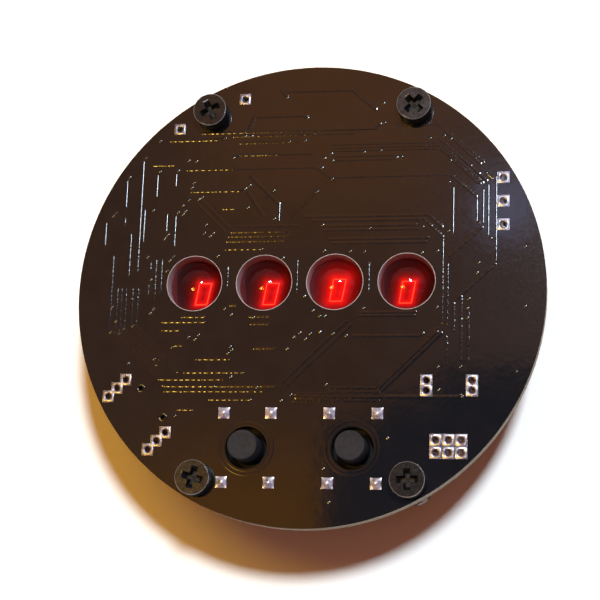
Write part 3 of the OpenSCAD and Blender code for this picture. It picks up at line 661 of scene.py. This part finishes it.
# Plungers: a round stem with a rounded top edge and a slightly hollow top, on a flange and a nub below
plunger = {"radius": 1.4, "edge": 0.1, "top": 12.2, "flange": (1.85, 7.77, 8.37), "nub": (0.6, 7.0),
           "hollow": [(1.15, 0.004), (0.6, 0.02), (0, 0.025)]}
r, top, edge = plunger["radius"], plunger["top"], plunger["edge"]
flangeRadius, flangeLow, flangeHigh = plunger["flange"]
nubRadius, nubLow = plunger["nub"]
profile = [(0, nubLow), (nubRadius, nubLow), (nubRadius, flangeLow), (flangeRadius, flangeLow),
           (flangeRadius, flangeHigh), (r, flangeHigh), (r, top - edge)]
profile += roundedEdge(r, top, edge, (30, 60, 90))
profile += [(radius, top - dip) for radius, dip in plunger["hollow"]]
stem = turned("stem", profile, 64)
for side, (x, y) in buttonCentres.items():
    finishPiece(copyOf(stem, "p", (x, y, 0)), side + "PlungerCap", plungerNylon,
                body=side + "_button", replaces=[side + "_plunger"])
bpy.data.objects.remove(stem)
print("plungers modelled")

# Header pads: a crown of tin on each land, highest round the plated hole
pads = {"side": 1.05, "rise": 0.02, "crown": 0.015, "border": 0.14, "hole": 0.275, "mouth": 0.4,
        "edge": 0.018, "row": (18.5, 8.45), "rowPitch": 2.3, "single": [(109.2, 1.95), (128.7, 1.37)],
        "slanted": [(207.5, 2.12), (226.1, 2.42)], "slantedStep": (0.81, 0.81),
        "four": (13.6, -9.17), "fourHalf": (2.1, 0.46), "six": (13.6, -14.81), "sixPitch": (1.17, 0.585)}
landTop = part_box("header_pads")[1].z / mm


# A place on the face from its angle in degrees and its distance in from the board's edge
def edgePlace(angle, inset):
    return Vector((math.cos(math.radians(angle)), math.sin(math.radians(angle)))) * (boardRadius - inset)


# Places in columns and rows round a centre
def block(centre, pitch, columns, rows):
    return [Vector((centre[0] + i * pitch[0], centre[1] + j * pitch[1])) for i in columns for j in rows]


padPlaces = block(pads["row"], (0, pads["rowPitch"]), [0], (-1, 0, 1))
padPlaces += [edgePlace(angle, inset) for angle, inset in pads["single"]]
padPlaces += [edgePlace(angle, inset) + Vector(pads["slantedStep"]) * step
              for angle, inset in pads["slanted"] for step in (-1, 0, 1)]
padPlaces += block(pads["four"], pads["fourHalf"], (-1, 1), (-1, 1))
padPlaces += block(pads["six"], pads["sixPitch"], (-1, 0, 1), (-1, 1))
crown = box("crown", (pads["side"], pads["side"], pads["rise"]), (0, 0, landTop + pads["rise"] / 2))
pickFaces(crown, lambda c, n: n.z > 0.5)
bpy.ops.mesh.inset(thickness=pads["border"] * mm)
bpy.ops.transform.translate(value=(0, 0, pads["crown"] * mm))
bpy.ops.object.mode_set(mode="OBJECT")
padTop = landTop + pads["rise"] + pads["crown"]
# The drill, wider at the mouth
profile = [(0, landTop - 0.5), (pads["hole"], landTop - 0.5), (pads["hole"], landTop + 0.004),
           (pads["mouth"] - 0.02, padTop - 0.015), (pads["mouth"], padTop + 0.1), (0, padTop + 0.1)]
cutOut(crown, turned("drill", profile, 32))
bevelSharp(crown, pads["edge"], 2, 40)
crowns = joined("padCrowns", [copyOf(crown, "c", (p.x, p.y, 0)) for p in padPlaces])
finishPiece(crowns, "padCrowns", levelledTin)
bpy.data.objects.remove(crown)
print("pads crowned:", len(padPlaces))

# Solder joints: a square land under a lopsided dome of solder, each one a little different
solder = {"side": 1.07, "land": 0.04, "heights": (0.24, 0.27, 0.3), "waists": (1.4, 1.0, 1.8),
          "peak": (0.08, 0.04), "peakShift": 0.12, "shiftTurn": 2.4, "pitch": (4.5, 6.5), "cells": 20}


def solderDome(name, peakX, peakY, height, waist):
    deselect()
    bpy.ops.mesh.primitive_grid_add(
        x_subdivisions=solder["cells"], y_subdivisions=solder["cells"], size=solder["side"] * mm,
        location=(0, 0, (faceTop + solder["land"]) * mm))
    obj = applyPlace(bpy.context.object)
    half = solder["side"] / 2
    bpy.ops.object.mode_set(mode="EDIT")
    mesh = bmesh.from_edit_mesh(obj.data)
    for v in mesh.verts:
        x, y = v.co.x / mm / half, v.co.y / mm / half
        edge = max(0, (1 - x * x) * (1 - y * y))
        away = (x - peakX) ** 2 + (y - peakY) ** 2
        v.co.z += height * mm * edge ** 0.7 / (1 + waist * away)
    bmesh.update_edit_mesh(obj.data)
    bpy.ops.object.mode_set(mode="OBJECT")
    pickEdges(obj, lambda p: max(abs(p.x), abs(p.y)) > half - 0.001)
    bpy.ops.mesh.extrude_edges_move(TRANSFORM_OT_translate={"value": (0, 0, -solder["land"] * mm)})
    bpy.ops.object.mode_set(mode="OBJECT")
    return obj


domes = []
for side, (x, y) in buttonCentres.items():
    for i in (-1, 1):
        for j in (-1, 1):
            k = len(domes)
            turn = k * solder["shiftTurn"]
            shift = Vector((math.cos(turn), math.sin(turn))) * solder["peakShift"]
            dome = solderDome("dome", *(Vector(solder["peak"]) + shift), solder["heights"][k % 3],
                              solder["waists"][k % 3])
            joint = Vector((x + i * solder["pitch"][0] / 2, y + j * solder["pitch"][1] / 2, 0))
            dome.data.transform(Matrix.Translation(joint * mm))
            domes.append(dome)
finishPiece(joined("solderDomes", domes), "solderDomes", cooledSolder, replaces=["solder_joints"],
            angle=60)
print("solder joints modelled")

# Tracks: low ridges where the mask drapes over the copper, drawn as the routes that show in relief
tracks = {"upWidth": 0.19, "upCrown": 0.018, "width": 0.28, "crown": 0.018, "dimCrown": 0.0155,
          "faintWidth": 0.34, "faintCrown": 0.006, "wide": 0.5, "wideCrown": 0.012,
          "taper": 0.1, "endShare": 0.25}
upRoutes = [
    # left edge
    [(-16.75, 13.4), (-16.75, 2.0)], [(-18.3, 11.4), (-18.3, 8.5)], [(-18.3, 7.6), (-18.3, 6.8)],
    [(-15.24, 11.9), (-15.24, 9.5)], [(-13.36, 12.0), (-13.36, 10.5)], [(-16.35, 8.4), (-16.35, 4.9)],
    [(-14.08, 7.87), (-14.08, 5.95)], [(-13.2, 7.7), (-13.2, 4.46)], [(-20.2, 7.1), (-20.2, 4.6)],
    [(-17.6, 5.95), (-17.6, 1.6)], [(-14.9, 3.3), (-14.9, -0.6)], [(-14.33, 3.3), (-14.33, -0.1)],
    [(-15.44, 3.0), (-15.44, 2.2)], [(-15.54, 0.8), (-15.54, -0.2)], [(-19.24, 3.7), (-19.24, -4.0)],
    [(-18.62, 0.4), (-18.62, -4.0)], [(-18.2, 0.4), (-18.2, -3.8)], [(-17.75, 0.4), (-17.75, -3.6)],
    [(-17.1, 0.4), (-17.1, -3.4)], [(-16.56, 0.4), (-16.56, -3.3)],
    # between the windows
    [(-7.75, 2.5), (-7.75, 0.1)], [(-0.97, 3.1), (-0.97, -0.2)], [(5.92, 2.7), (5.92, -0.2)],
    [(-2.93, 8.9), (-2.93, 6.8)],
    # right edge
    [(13.82, 10.0), (13.82, 5.3)], [(16.05, 8.75), (16.05, 6.4)], [(16.64, 9.7), (16.64, 6.2)],
    [(17.12, 10.2), (17.12, 5.0)], [(17.85, 11.0), (17.85, 2.56)], [(12.9, 4.9), (12.9, -3.3)],
    [(13.38, 2.5), (13.38, -3.4)], [(16.95, 11.2), (17.6, 10.6)],
]
routes = [
    # top left
    [(-11.05, 16.0), (-6.6, 16.0)], [(-7.1, 13.65), (-4.6, 13.65)],
    [(-14.3, 15.31), (-9.0, 15.31), (-8.62, 15.48)], [(-15.8, 12.82), (-13.5, 12.82)],
    [(-12.4, 12.26), (-7.6, 12.26)], [(-11.9, 10.03), (-7.0, 10.03), (-6.36, 10.28)],
    [(-8.6, 8.23), (-7.0, 8.23)], [(-8.2, 4.15), (-4.4, 4.15)],
    # below the windows and lower left
    [(-12.2, -2.51), (-9.8, -2.51)], [(-14.1, -3.0), (-9.7, -3.0)], [(-14.1, -3.8), (-12.1, -3.8)],
    [(-12.9, -5.46), (-12.6, -5.3), (-11.8, -5.3)], [(-10.6, -6.64), (-7.1, -6.64)],
    [(-11.7, -7.92), (-5.7, -7.92)], [(-13.9, -8.59), (-7.6, -8.59)], [(-13.5, -9.24), (-8.5, -9.24)],
    [(-13.6, -9.72), (-3.5, -9.72)], [(-9.1, -10.52), (-4.9, -10.52)], [(-12.1, -11.5), (-10.4, -11.5)],
]
dimRoutes = [
    [(-6.6, 16.0), (6.2, 16.0), (6.8, 16.6)], [(-7.9, 15.62), (0.3, 15.62)], [(-7.2, 14.9), (-1.2, 14.9)],
    [(-7.65, 13.45), (-7.1, 13.65)], [(-4.6, 13.65), (-3.2, 13.65)], [(-7.7, 5.87), (-2.0, 5.87)],
    [(-7.95, 5.44), (-1.5, 5.44)], [(-8.1, 4.95), (-2.0, 4.95)], [(-5.5, -2.51), (-3.4, -2.51)],
    [(-5.4, -3.23), (-3.4, -3.23)], [(-7.5, -1.4), (-6.6, -1.4)], [(-5.0, -5.6), (-2.7, -5.6)],
    [(-8.5, -9.24), (-2.5, -9.24)],
]
faintRoutes = [
    # left: the bus that turns along the lower edge, and the ends of the bright runs
    [(-18.62, -4.1), (-13.9, -8.59)], [(-18.2, -3.9), (-13.8, -8.2), (-13.5, -9.24)],
    [(-17.75, -3.7), (-14.2, -7.2)], [(-17.1, -3.5), (-13.6, -7.0)], [(-16.56, -3.4), (-12.1, -7.9)],
    [(-7.6, 12.26), (0.5, 12.26), (2.15, 11.0)], [(-3.2, 13.65), (0.2, 13.65)],
    [(-7.4, 6.4), (-1.0, 6.4)], [(-10.5, 9.0), (-7.7, 6.2)], [(-10.9, 8.6), (-8.1, 5.8)],
    [(-10.97, 9.26), (-10.5, 9.0)], [(0.3, 15.62), (4.3, 15.62)],
    # upper right
    [(2.0, 14.5), (12.3, 14.5), (16.64, 10.2)], [(12.3, 14.9), (17.0, 10.4)],
    [(2.3, 14.15), (12.4, 14.15), (16.4, 10.15)], [(2.0, 13.85), (12.5, 13.85), (16.2, 10.2)],
    [(2.2, 13.3), (8.2, 13.3)], [(2.17, 12.9), (8.3, 12.9)], [(8.0, 16.6), (12.0, 16.6), (16.7, 12.3)],
    [(2.15, 11.2), (13.4, 11.2), (13.8, 10.9)], [(8.2, 16.3), (12.2, 16.3), (16.4, 12.1)],
    [(0.7, 9.79), (-1.6, 7.4), (-2.3, 5.6)], [(13.5, 11.2), (16.05, 8.85)], [(16.6, 6.0), (13.4, 3.1)],
    [(17.85, 2.4), (14.2, -1.0)],
    # middle right
    [(-0.6, 7.25), (11.5, 7.25), (12.85, 5.95)], [(0.2, 6.85), (11.0, 6.85), (12.9, 4.95)],
    [(0.9, 6.3), (10.4, 6.3)], [(1.3, 5.9), (10.6, 5.9)], [(1.7, 5.0), (11.6, 5.0)],
    [(2.0, 4.6), (11.4, 4.6)], [(13.92, -1.3), (13.92, -4.2)], [(14.6, -0.6), (14.6, -7.3)],
    [(15.26, -1.8), (15.26, -7.6)], [(13.26, -4.5), (13.26, -7.4)],
    # lower middle and lower right
    [(4.9, -2.2), (10.5, -2.2)], [(4.9, -2.5), (10.4, -2.5)],
    [(4.4, -4.46), (10.8, -4.46), (11.15, -4.2)], [(3.9, -3.0), (-2.2, -9.0)],
    [(4.4, -3.3), (-1.7, -9.3)], [(2.3, -9.4), (6.8, -9.4)], [(2.1, -9.8), (7.2, -9.8)],
    [(-0.8, -9.98), (7.6, -9.98)], [(-1.0, -10.6), (7.2, -10.6)], [(6.8, -9.4), (12.5, -3.7)],
    [(-3.5, 10.0), (-4.4, 9.1)],
]
wideRoutes = [
    [(-2.56, 19.5), (-2.97, 20.1), (-2.2, 20.15), (3.9, 20.1), (6.3, 17.9)],
    [(-6.3, 16.2), (-5.7, 17.6), (-0.9, 17.6), (-0.46, 17.33)], [(-6.0, 11.6), (-2.9, 8.5)],
    [(-6.2, 10.0), (-4.4, 7.3)], [(12.5, -4.0), (7.0, -9.5)],
    [(-0.8, -10.25), (14.2, -10.25), (14.85, -10.16)], [(7.2, -9.8), (12.9, -4.1)],
]


# Extra points close to a route's corners, which keep its long stretches shaded straight
def squaredOff(points, radii, near=0.06):
    newPoints, newRadii = [points[0]], [radii[0]]
    for i in range(1, len(points)):
        start, end = points[i - 1], points[i]
        if (end - start).length > 4 * near:
            along = (end - start).normalized() * near
            newPoints += [start + along, end - along]
            newRadii += [radii[i - 1], radii[i]]
        newPoints.append(end)
        newRadii.append(radii[i])
    return newPoints, newRadii


# Sweeps the ridge's section along routes and returns a mesh
def ridges(name, paths, width, crown, cyclic=False):
    section = bpy.data.curves.new(name + "Section", "CURVE")
    section.dimensions = "2D"
    outline = section.splines.new("POLY")
    # An arch that meets the face just inside its feet, which go down into the board
    arch = [step / 10 for step in range(-5, 6)]
    shape = [(-0.5, -0.5)] + [(x, 1 - 4.4 * x * x) for x in arch] + [(0.5, -0.5)]
    outline.points.add(len(shape) - 1)
    for point, (x, z) in zip(outline.points, shape):
        point.co = (x * width * mm, z * crown * mm, 0, 1)
    outline.use_cyclic_u = True
    sectionObject = bpy.data.objects.new(name + "Section", section)
    bpy.context.scene.collection.objects.link(sectionObject)
    curve = bpy.data.curves.new(name, "CURVE")
    curve.dimensions = "2D"
    curve.bevel_mode = "OBJECT"
    curve.bevel_object = sectionObject
    curve.use_fill_caps = True
    for path in paths:
        points = [Vector(p) for p in path]
        radii = [1.0] * len(points)
        if not cyclic:  # ends taper down into the board
            afterStart = points[0] + (points[1] - points[0]).normalized() * tracks["taper"]
            beforeEnd = points[-1] + (points[-2] - points[-1]).normalized() * tracks["taper"]
            points = [points[0], afterStart] + points[1:-1] + [beforeEnd, points[-1]]
            radii = [tracks["endShare"], 1.0] + radii[1:-1] + [1.0, tracks["endShare"]]
        points, radii = squaredOff(points, radii)
        spline = curve.splines.new("POLY")
        spline.points.add(len(points) - 1)
        for point, place, radius in zip(spline.points, points, radii):
            point.co = (place.x * mm, place.y * mm, faceTop * mm, 1)
            point.radius = radius
        spline.use_cyclic_u = cyclic
    obj = bpy.data.objects.new(name, curve)
    bpy.context.scene.collection.objects.link(obj)
    take(obj)
    bpy.ops.object.convert(target="MESH")
    bpy.data.objects.remove(sectionObject)
    for v in obj.data.vertices:
        if v.co.z < faceTop * 0.5 * mm:
            v.co.z += faceTop * mm
    return closeShell(obj, 0.0002)


upright = ridges("upright", upRoutes, tracks["upWidth"], tracks["upCrown"])
narrow = ridges("narrow", routes, tracks["width"], tracks["crown"])
dim = ridges("dim", dimRoutes, tracks["width"], tracks["dimCrown"])
faint = ridges("faint", faintRoutes, tracks["faintWidth"], tracks["faintCrown"])
wide = ridges("wide", wideRoutes, tracks["wide"], tracks["wideCrown"])


# A circle's points in mm, for a ridge that closes on itself
def circle(x, y, radius, steps):
    turns = [math.tau * k / steps for k in range(steps)]
    return [(x + radius * math.cos(turn), y + radius * math.sin(turn)) for turn in turns]


# Two faint rings round each button, and a raised one round each tooling hole
buttonRing = {"radii": (2.15, 2.55), "width": 0.22, "crown": 0.0035, "steps": 48}
rings = [circle(x, y, radius, buttonRing["steps"])
         for x, y in buttonCentres.values() for radius in buttonRing["radii"]]
ringRelief = ridges("rings", rings, buttonRing["width"], buttonRing["crown"], True)
finishPiece(ringRelief, "ringRelief", solderMask, angle=60)
toolingRing = {"places": [(210.9, 4.17), (222.2, 4.35)], "radius": 0.34, "width": 0.16, "crown": 0.015,
               "steps": 24}
rings = [circle(*edgePlace(angle, inset), toolingRing["radius"], toolingRing["steps"])
         for angle, inset in toolingRing["places"]]
ringRelief = ridges("toolingRings", rings, toolingRing["width"], toolingRing["crown"], True)
finishPiece(ringRelief, "toolingHoleRings", rippledMask, angle=60)
finishPiece(joined("trackRelief", [upright, dim, faint, wide]), "trackRelief", rippledMask, angle=60)
finishPiece(narrow, "beadedTracks", beadedMask, angle=60)
print("tracks swept:", len(upRoutes + routes + dimRoutes + faintRoutes + wideRoutes))

# Tented vias: small domes of mask over plated holes
vias = {"radius": 0.2, "height": 0.03}
r, h = vias["radius"], vias["height"]
profile = [(r, faceTop - 0.01), (r * 0.9, faceTop + h * 0.2), (r * 0.68, faceTop + h * 0.58),
           (r * 0.35, faceTop + h * 0.9), (0, faceTop + h)]
viaDome = turned("viaDome", profile, 12)
viaPlaces = [
    (-16.55, 13.7), (-18.1, 11.7), (-15.03, 12.23), (-13.2, 12.26), (-13.9, 5.72), (-14.2, 5.35),
    (-13.0, 7.97), (-8.62, 15.48), (16.23, 6.36), (17.4, 4.84), (-15.2, 15.36), (-12.2, 13.26),
    (-11.4, 13.18), (-11.56, 10.97), (-11.73, 10.47), (-10.64, 9.48), (-10.97, 9.26), (-11.95, 9.24),
    (-12.54, 8.66), (-12.25, 8.1), (-12.5, 7.77), (-15.5, 8.26), (-19.24, 8.07), (-19.56, 7.75),
    (-10.13, 6.67), (-10.25, 5.83), (-9.36, 5.83), (-9.67, 5.52), (-8.8, 3.52), (-15.79, 3.52),
    (-13.26, 3.52), (-13.58, 3.13), (-13.8, 2.1), (-15.37, 1.25), (-14.95, -1.7), (-15.24, -2.07),
    (-19.1, -1.47), (-19.1, -3.93), (-18.22, -4.06), (-17.8, -3.6), (-16.93, -3.36), (-18.62, -2.85),
    (-17.15, -7.03), (-14.6, -6.6), (-12.9, -5.46), (-11.33, -4.48), (-10.7, -4.7), (-10.38, -4.26),
    (-7.2, -5.4), (-7.05, -5.7), (-7.4, -6.05), (-7.23, -2.29), (-7.9, -1.7), (-7.65, 13.45),
    (-6.6, 15.64), (-5.95, 15.64), (-2.2, 14.95), (-0.64, 15.0), (1.35, 13.15), (1.13, 12.2),
    (2.15, 11.05), (2.0, 13.6), (2.17, 12.9), (5.2, 13.67), (6.8, 13.8), (-5.95, 10.6), (-3.54, 10.0),
    (-6.36, 10.28), (-6.05, 8.33), (-3.4, 7.17), (0.7, 9.79), (1.35, 6.46), (5.93, 6.05), (1.6, 3.88),
    (4.1, 3.8), (5.47, 3.74), (-0.2, -0.54), (-2.4, 3.23), (12.88, 15.1), (13.53, 14.77), (11.56, 14.9),
    (8.38, 13.07), (8.85, 13.07), (13.53, 12.6), (16.66, 12.33), (16.93, 11.24), (13.44, 10.44),
    (10.98, 6.05), (13.4, 5.64), (12.4, 3.7), (12.44, -1.74), (10.95, 3.54), (16.28, 2.5), (16.15, 1.54),
    (15.36, -0.95), (15.26, -1.87), (15.28, -2.77), (20.6, 4.0), (20.6, -1.7), (12.6, -7.4),
    (14.66, -7.4), (19.75, -7.9), (12.7, -9.56), (-5.06, -2.56), (-0.54, -4.1), (0.48, -4.2),
    (1.4, -4.03), (2.65, -4.2), (3.9, -4.4), (5.5, -1.74), (1.33, -2.5), (1.85, -2.5), (0.67, -1.95),
    (-1.08, -4.5), (0.03, -4.7), (-1.7, -5.64), (-4.46, -9.34), (-7.03, -8.3), (-1.16, -10.06),
    (2.15, -9.05), (-2.08, -10.6), (-12.25, -12.08), (2.12, -16.95), (2.72, -20.05), (8.03, -14.08),
    (6.97, 18.6), (7.1, 16.57), (-0.46, 17.33), (-2.56, 19.5), (11.15, -4.2), (14.85, -10.16),
]
domes = [copyOf(viaDome, "v", (x, y, 0)) for x, y in viaPlaces]
finishPiece(joined("tentedVias", domes), "tentedVias", rippledMask, angle=60)
bpy.data.objects.remove(viaDome)
print("vias placed:", len(viaPlaces))


# Studio

# Two lamps, each as one round soft box for matt surfaces and one for glossy ones, with its direction and the
# share of light that it gives a flat white card
lamps = {
    "key": {"from": (0.259, 0.358, 1), "share": (0.60, 0.70, 0.745), "spread": 8.2, "sees": "matt"},
    "keyGlint": {"from": (0.1, 0.335, 1), "share": (0.41, 0.5, 0.57), "spread": 8, "sees": "gloss"},
    "warm": {"from": (-0.43, 0.554, 1), "share": (0.225, 0.125, 0.002), "spread": 38, "sees": "matt"},
    "warmGlint": {"from": (-0.411, -0.043, 1), "share": (0.2, 0.125, 0.02), "spread": 8, "sees": "gloss"}}
lampDistance = 1.2
for name, lamp in lamps.items():
    towards = Vector(lamp["from"]).normalized()
    strongest = max(lamp["share"])
    data = bpy.data.lights.new(name + "Lamp", "AREA")
    data.shape = "DISK"
    data.size = 2 * lampDistance * math.tan(math.radians(lamp["spread"] / 2))
    data.color = [c / strongest for c in lamp["share"]]
    data.energy = math.pi * lampDistance ** 2 * math.pi * strongest / towards.z
    obj = bpy.data.objects.new(name + "Lamp", data)
    obj.location = towards * lampDistance
    obj.rotation_euler = towards.to_track_quat("Z", "Y").to_euler()
    obj.visible_glossy = lamp["sees"] == "gloss"
    obj.visible_transmission = lamp["sees"] == "gloss"
    obj.visible_diffuse = lamp["sees"] == "matt"
    bpy.context.scene.collection.objects.link(obj)

# Room light: brown and dim on matt surfaces, a warm ceiling and a white horizon in glossy ones, and white to
# the camera
room = {"fill": "#6c4230", "white": (1, 1, 1), "dark": (0.15, 0.17, 0.24), "ceiling": (0.66, 0.34, 0.21),
        "upper": (1.3, 0.54, 0.21), "lower": (1.3, 0.52, 0.09), "right": (0.78, 0.5, 0.46),
        "leftWall": (0.42, 0.24, 0.17), "rightWall": (0.62, 0.56, 0.8), "farWall": (0.5, 0.44, 0.42),
        "nearWall": (0.2, 0.16, 0.22), "amber": (2.2, 1.0, 0.15), "warmHalo": (23, 13.5, 1.8),
        "window": (1.8, 1.75, 2.8)}
world = bpy.data.worlds.new("room")
bpy.context.scene.world = world
world.use_nodes = True
tree = world.node_tree
background = tree.nodes["Background"]
path = addNode(tree, "ShaderNodeLightPath")
direction = axesOf(tree, addNode(tree, "ShaderNodeTexCoord").outputs["Generated"])
height = reckon(tree, "MAXIMUM", direction["Z"], 0.05)
slopeX = reckon(tree, "DIVIDE", direction["X"], height)
slopeY = reckon(tree, "DIVIDE", direction["Y"], height)


# 0 to 1 as a value goes from one limit to the other
def rise(value, start, end):
    return addNode(tree, "ShaderNodeMapRange", {"interpolation_type": "SMOOTHSTEP"}, {
        "Value": value, "From Min": start, "From Max": end}).outputs["Result"]


def times(*factors):
    product = factors[0]
    for factor in factors[1:]:
        product = reckon(tree, "MULTIPLY", product, factor)
    return product


def tone(name):
    return (*room[name], 1)


# A colour, covered by one of the room's where a factor is 1
def cover(colour, factor, name):
    return mixed(tree, factor, colour, tone(name))


# 1 inside a rectangle of slopes and 0 outside it, each side given as where it is 0 and where it is 1
def patch(left, right, low, high):
    return times(rise(slopeX, *left), rise(slopeX, *right), rise(slopeY, *low), rise(slopeY, *high))


# Distance of the seen direction from a place, in slopes, with its height stretched
def slopeDistance(x, y, stretch):
    across = reckon(tree, "SUBTRACT", slopeX, x)
    along = reckon(tree, "SUBTRACT", slopeY, y)
    offset = addNode(tree, "ShaderNodeCombineXYZ", {}, {"X": across, "Y": times(along, 1 / stretch)})
    return lengthOf(tree, offset.outputs[0])


# The ceiling that the face mirrors: dull brown at the left, warmer towards two lit ends, greyer at the right
brown = cover(tone("ceiling"), times(rise(slopeY, 0.24, 0.36), rise(slopeX, -0.32, -0.2)), "upper")
brown = cover(brown, times(rise(slopeY, 0.19, 0.11), rise(slopeX, -0.34, -0.24)), "lower")
brown = cover(brown, times(rise(slopeX, -0.15, -0.04), 0.8), "right")
# The walls round it
walls = cover(tone("leftWall"), rise(direction["X"], -0.4, 0.4), "rightWall")
walls = cover(walls, rise(direction["Y"], 0.1, 0.6), "farWall")
walls = cover(walls, rise(direction["Y"], -0.1, -0.5), "nearWall")
brown = mixed(tree, patch((-1.0, -0.45), (0.5, 0.15), (-0.6, -0.2), (1.1, 0.6)), walls, brown)
# An amber patch in it
brown = cover(brown, patch((-0.4, -0.3), (-0.17, -0.26), (-0.25, -0.12), (0.08, 0.03)), "amber")
# A doorway in it, seen as the near-black stepped corner at the lower right
doorway = {"steps": [(-0.172, 0.1645), (-0.1365, 0.181), (-0.102, 0.2014)], "soft": (0.004, 0.003),
           "foot": (-0.3, -0.1)}
softX, softY = doorway["soft"]
corner = 0.0
for left, top in doorway["steps"]:
    step = times(rise(slopeX, left - softX, left + softX), rise(slopeY, top + softY, top - softY),
                 rise(slopeY, *doorway["foot"]))
    corner = reckon(tree, "MAXIMUM", corner, step)
overhead = cover(brown, corner, "dark")
# A halo beside the warm lamp, which the tracks' shoulders catch, and a far window that shows by the row of
# pads
overhead = cover(overhead, rise(slopeDistance(-0.345, -0.04, 0.8), 0.14, 0.09), "warmHalo")
overhead = cover(overhead, rise(slopeDistance(-0.058, 0.306, 1.2), 0.029, 0.006), "window")
glossy = mixed(tree, rise(direction["Z"], 0.3, 0.12), overhead, tone("white"))
mirrored = reckon(tree, "MAXIMUM", path.outputs["Is Glossy Ray"], path.outputs["Is Transmission Ray"])
matt = mixed(tree, mirrored, linear(room["fill"]), glossy)
seen = mixed(tree, path.outputs["Is Camera Ray"], matt, tone("white"))
tree.links.new(seen, background.inputs["Color"])

# White floor: brighter to the camera so that it reads white outside the shadow
table = {"size": 6, "colour": "#e6e6e6", "toCamera": (1.42, 1.37, 1.36, 1)}
floorLook, tree, shader = newMaterial("white table", {
    "Base Color": linear(table["colour"]), "Roughness": 0.9, "Specular IOR Level": 0.0})
path = addNode(tree, "ShaderNodeLightPath")
toCamera = addNode(tree, "ShaderNodeBsdfDiffuse", {}, {"Color": table["toCamera"]})
choice = addNode(tree, "ShaderNodeMixShader", {}, {
    0: path.outputs["Is Camera Ray"], 1: shader.outputs[0], 2: toCamera.outputs[0]})
tree.links.new(choice.outputs[0], tree.nodes["Material Output"].inputs["Surface"])
deselect()
bpy.ops.mesh.primitive_plane_add(size=table["size"], location=(0, 0, 0))
floor = bpy.context.object
floor.name = "floor"
floor.data.materials.append(floorLook)

# Camera as in the photograph: 96 mm on a 36 mm frame
camera = {"place": (0.0270, -0.0363, 0.1550), "right": (0.9832, 0.03363, -0.17938),
          "up": (0.00974, 0.97181, 0.23558), "back": (0.18225, -0.23338, 0.95516),
          "lens": 96, "sensor": 36, "clip": (0.01, 20)}
data = bpy.data.cameras.new("camera")
data.lens = camera["lens"]
data.sensor_width = camera["sensor"]
data.clip_start, data.clip_end = camera["clip"]
eye = bpy.data.objects.new("camera", data)
bpy.context.scene.collection.objects.link(eye)
turn = Matrix((camera["right"], camera["up"], camera["back"])).transposed().to_4x4()
eye.matrix_world = Matrix.Translation(camera["place"]) @ turn
bpy.context.scene.camera = eye
bpy.context.scene.view_settings.view_transform = "Standard"
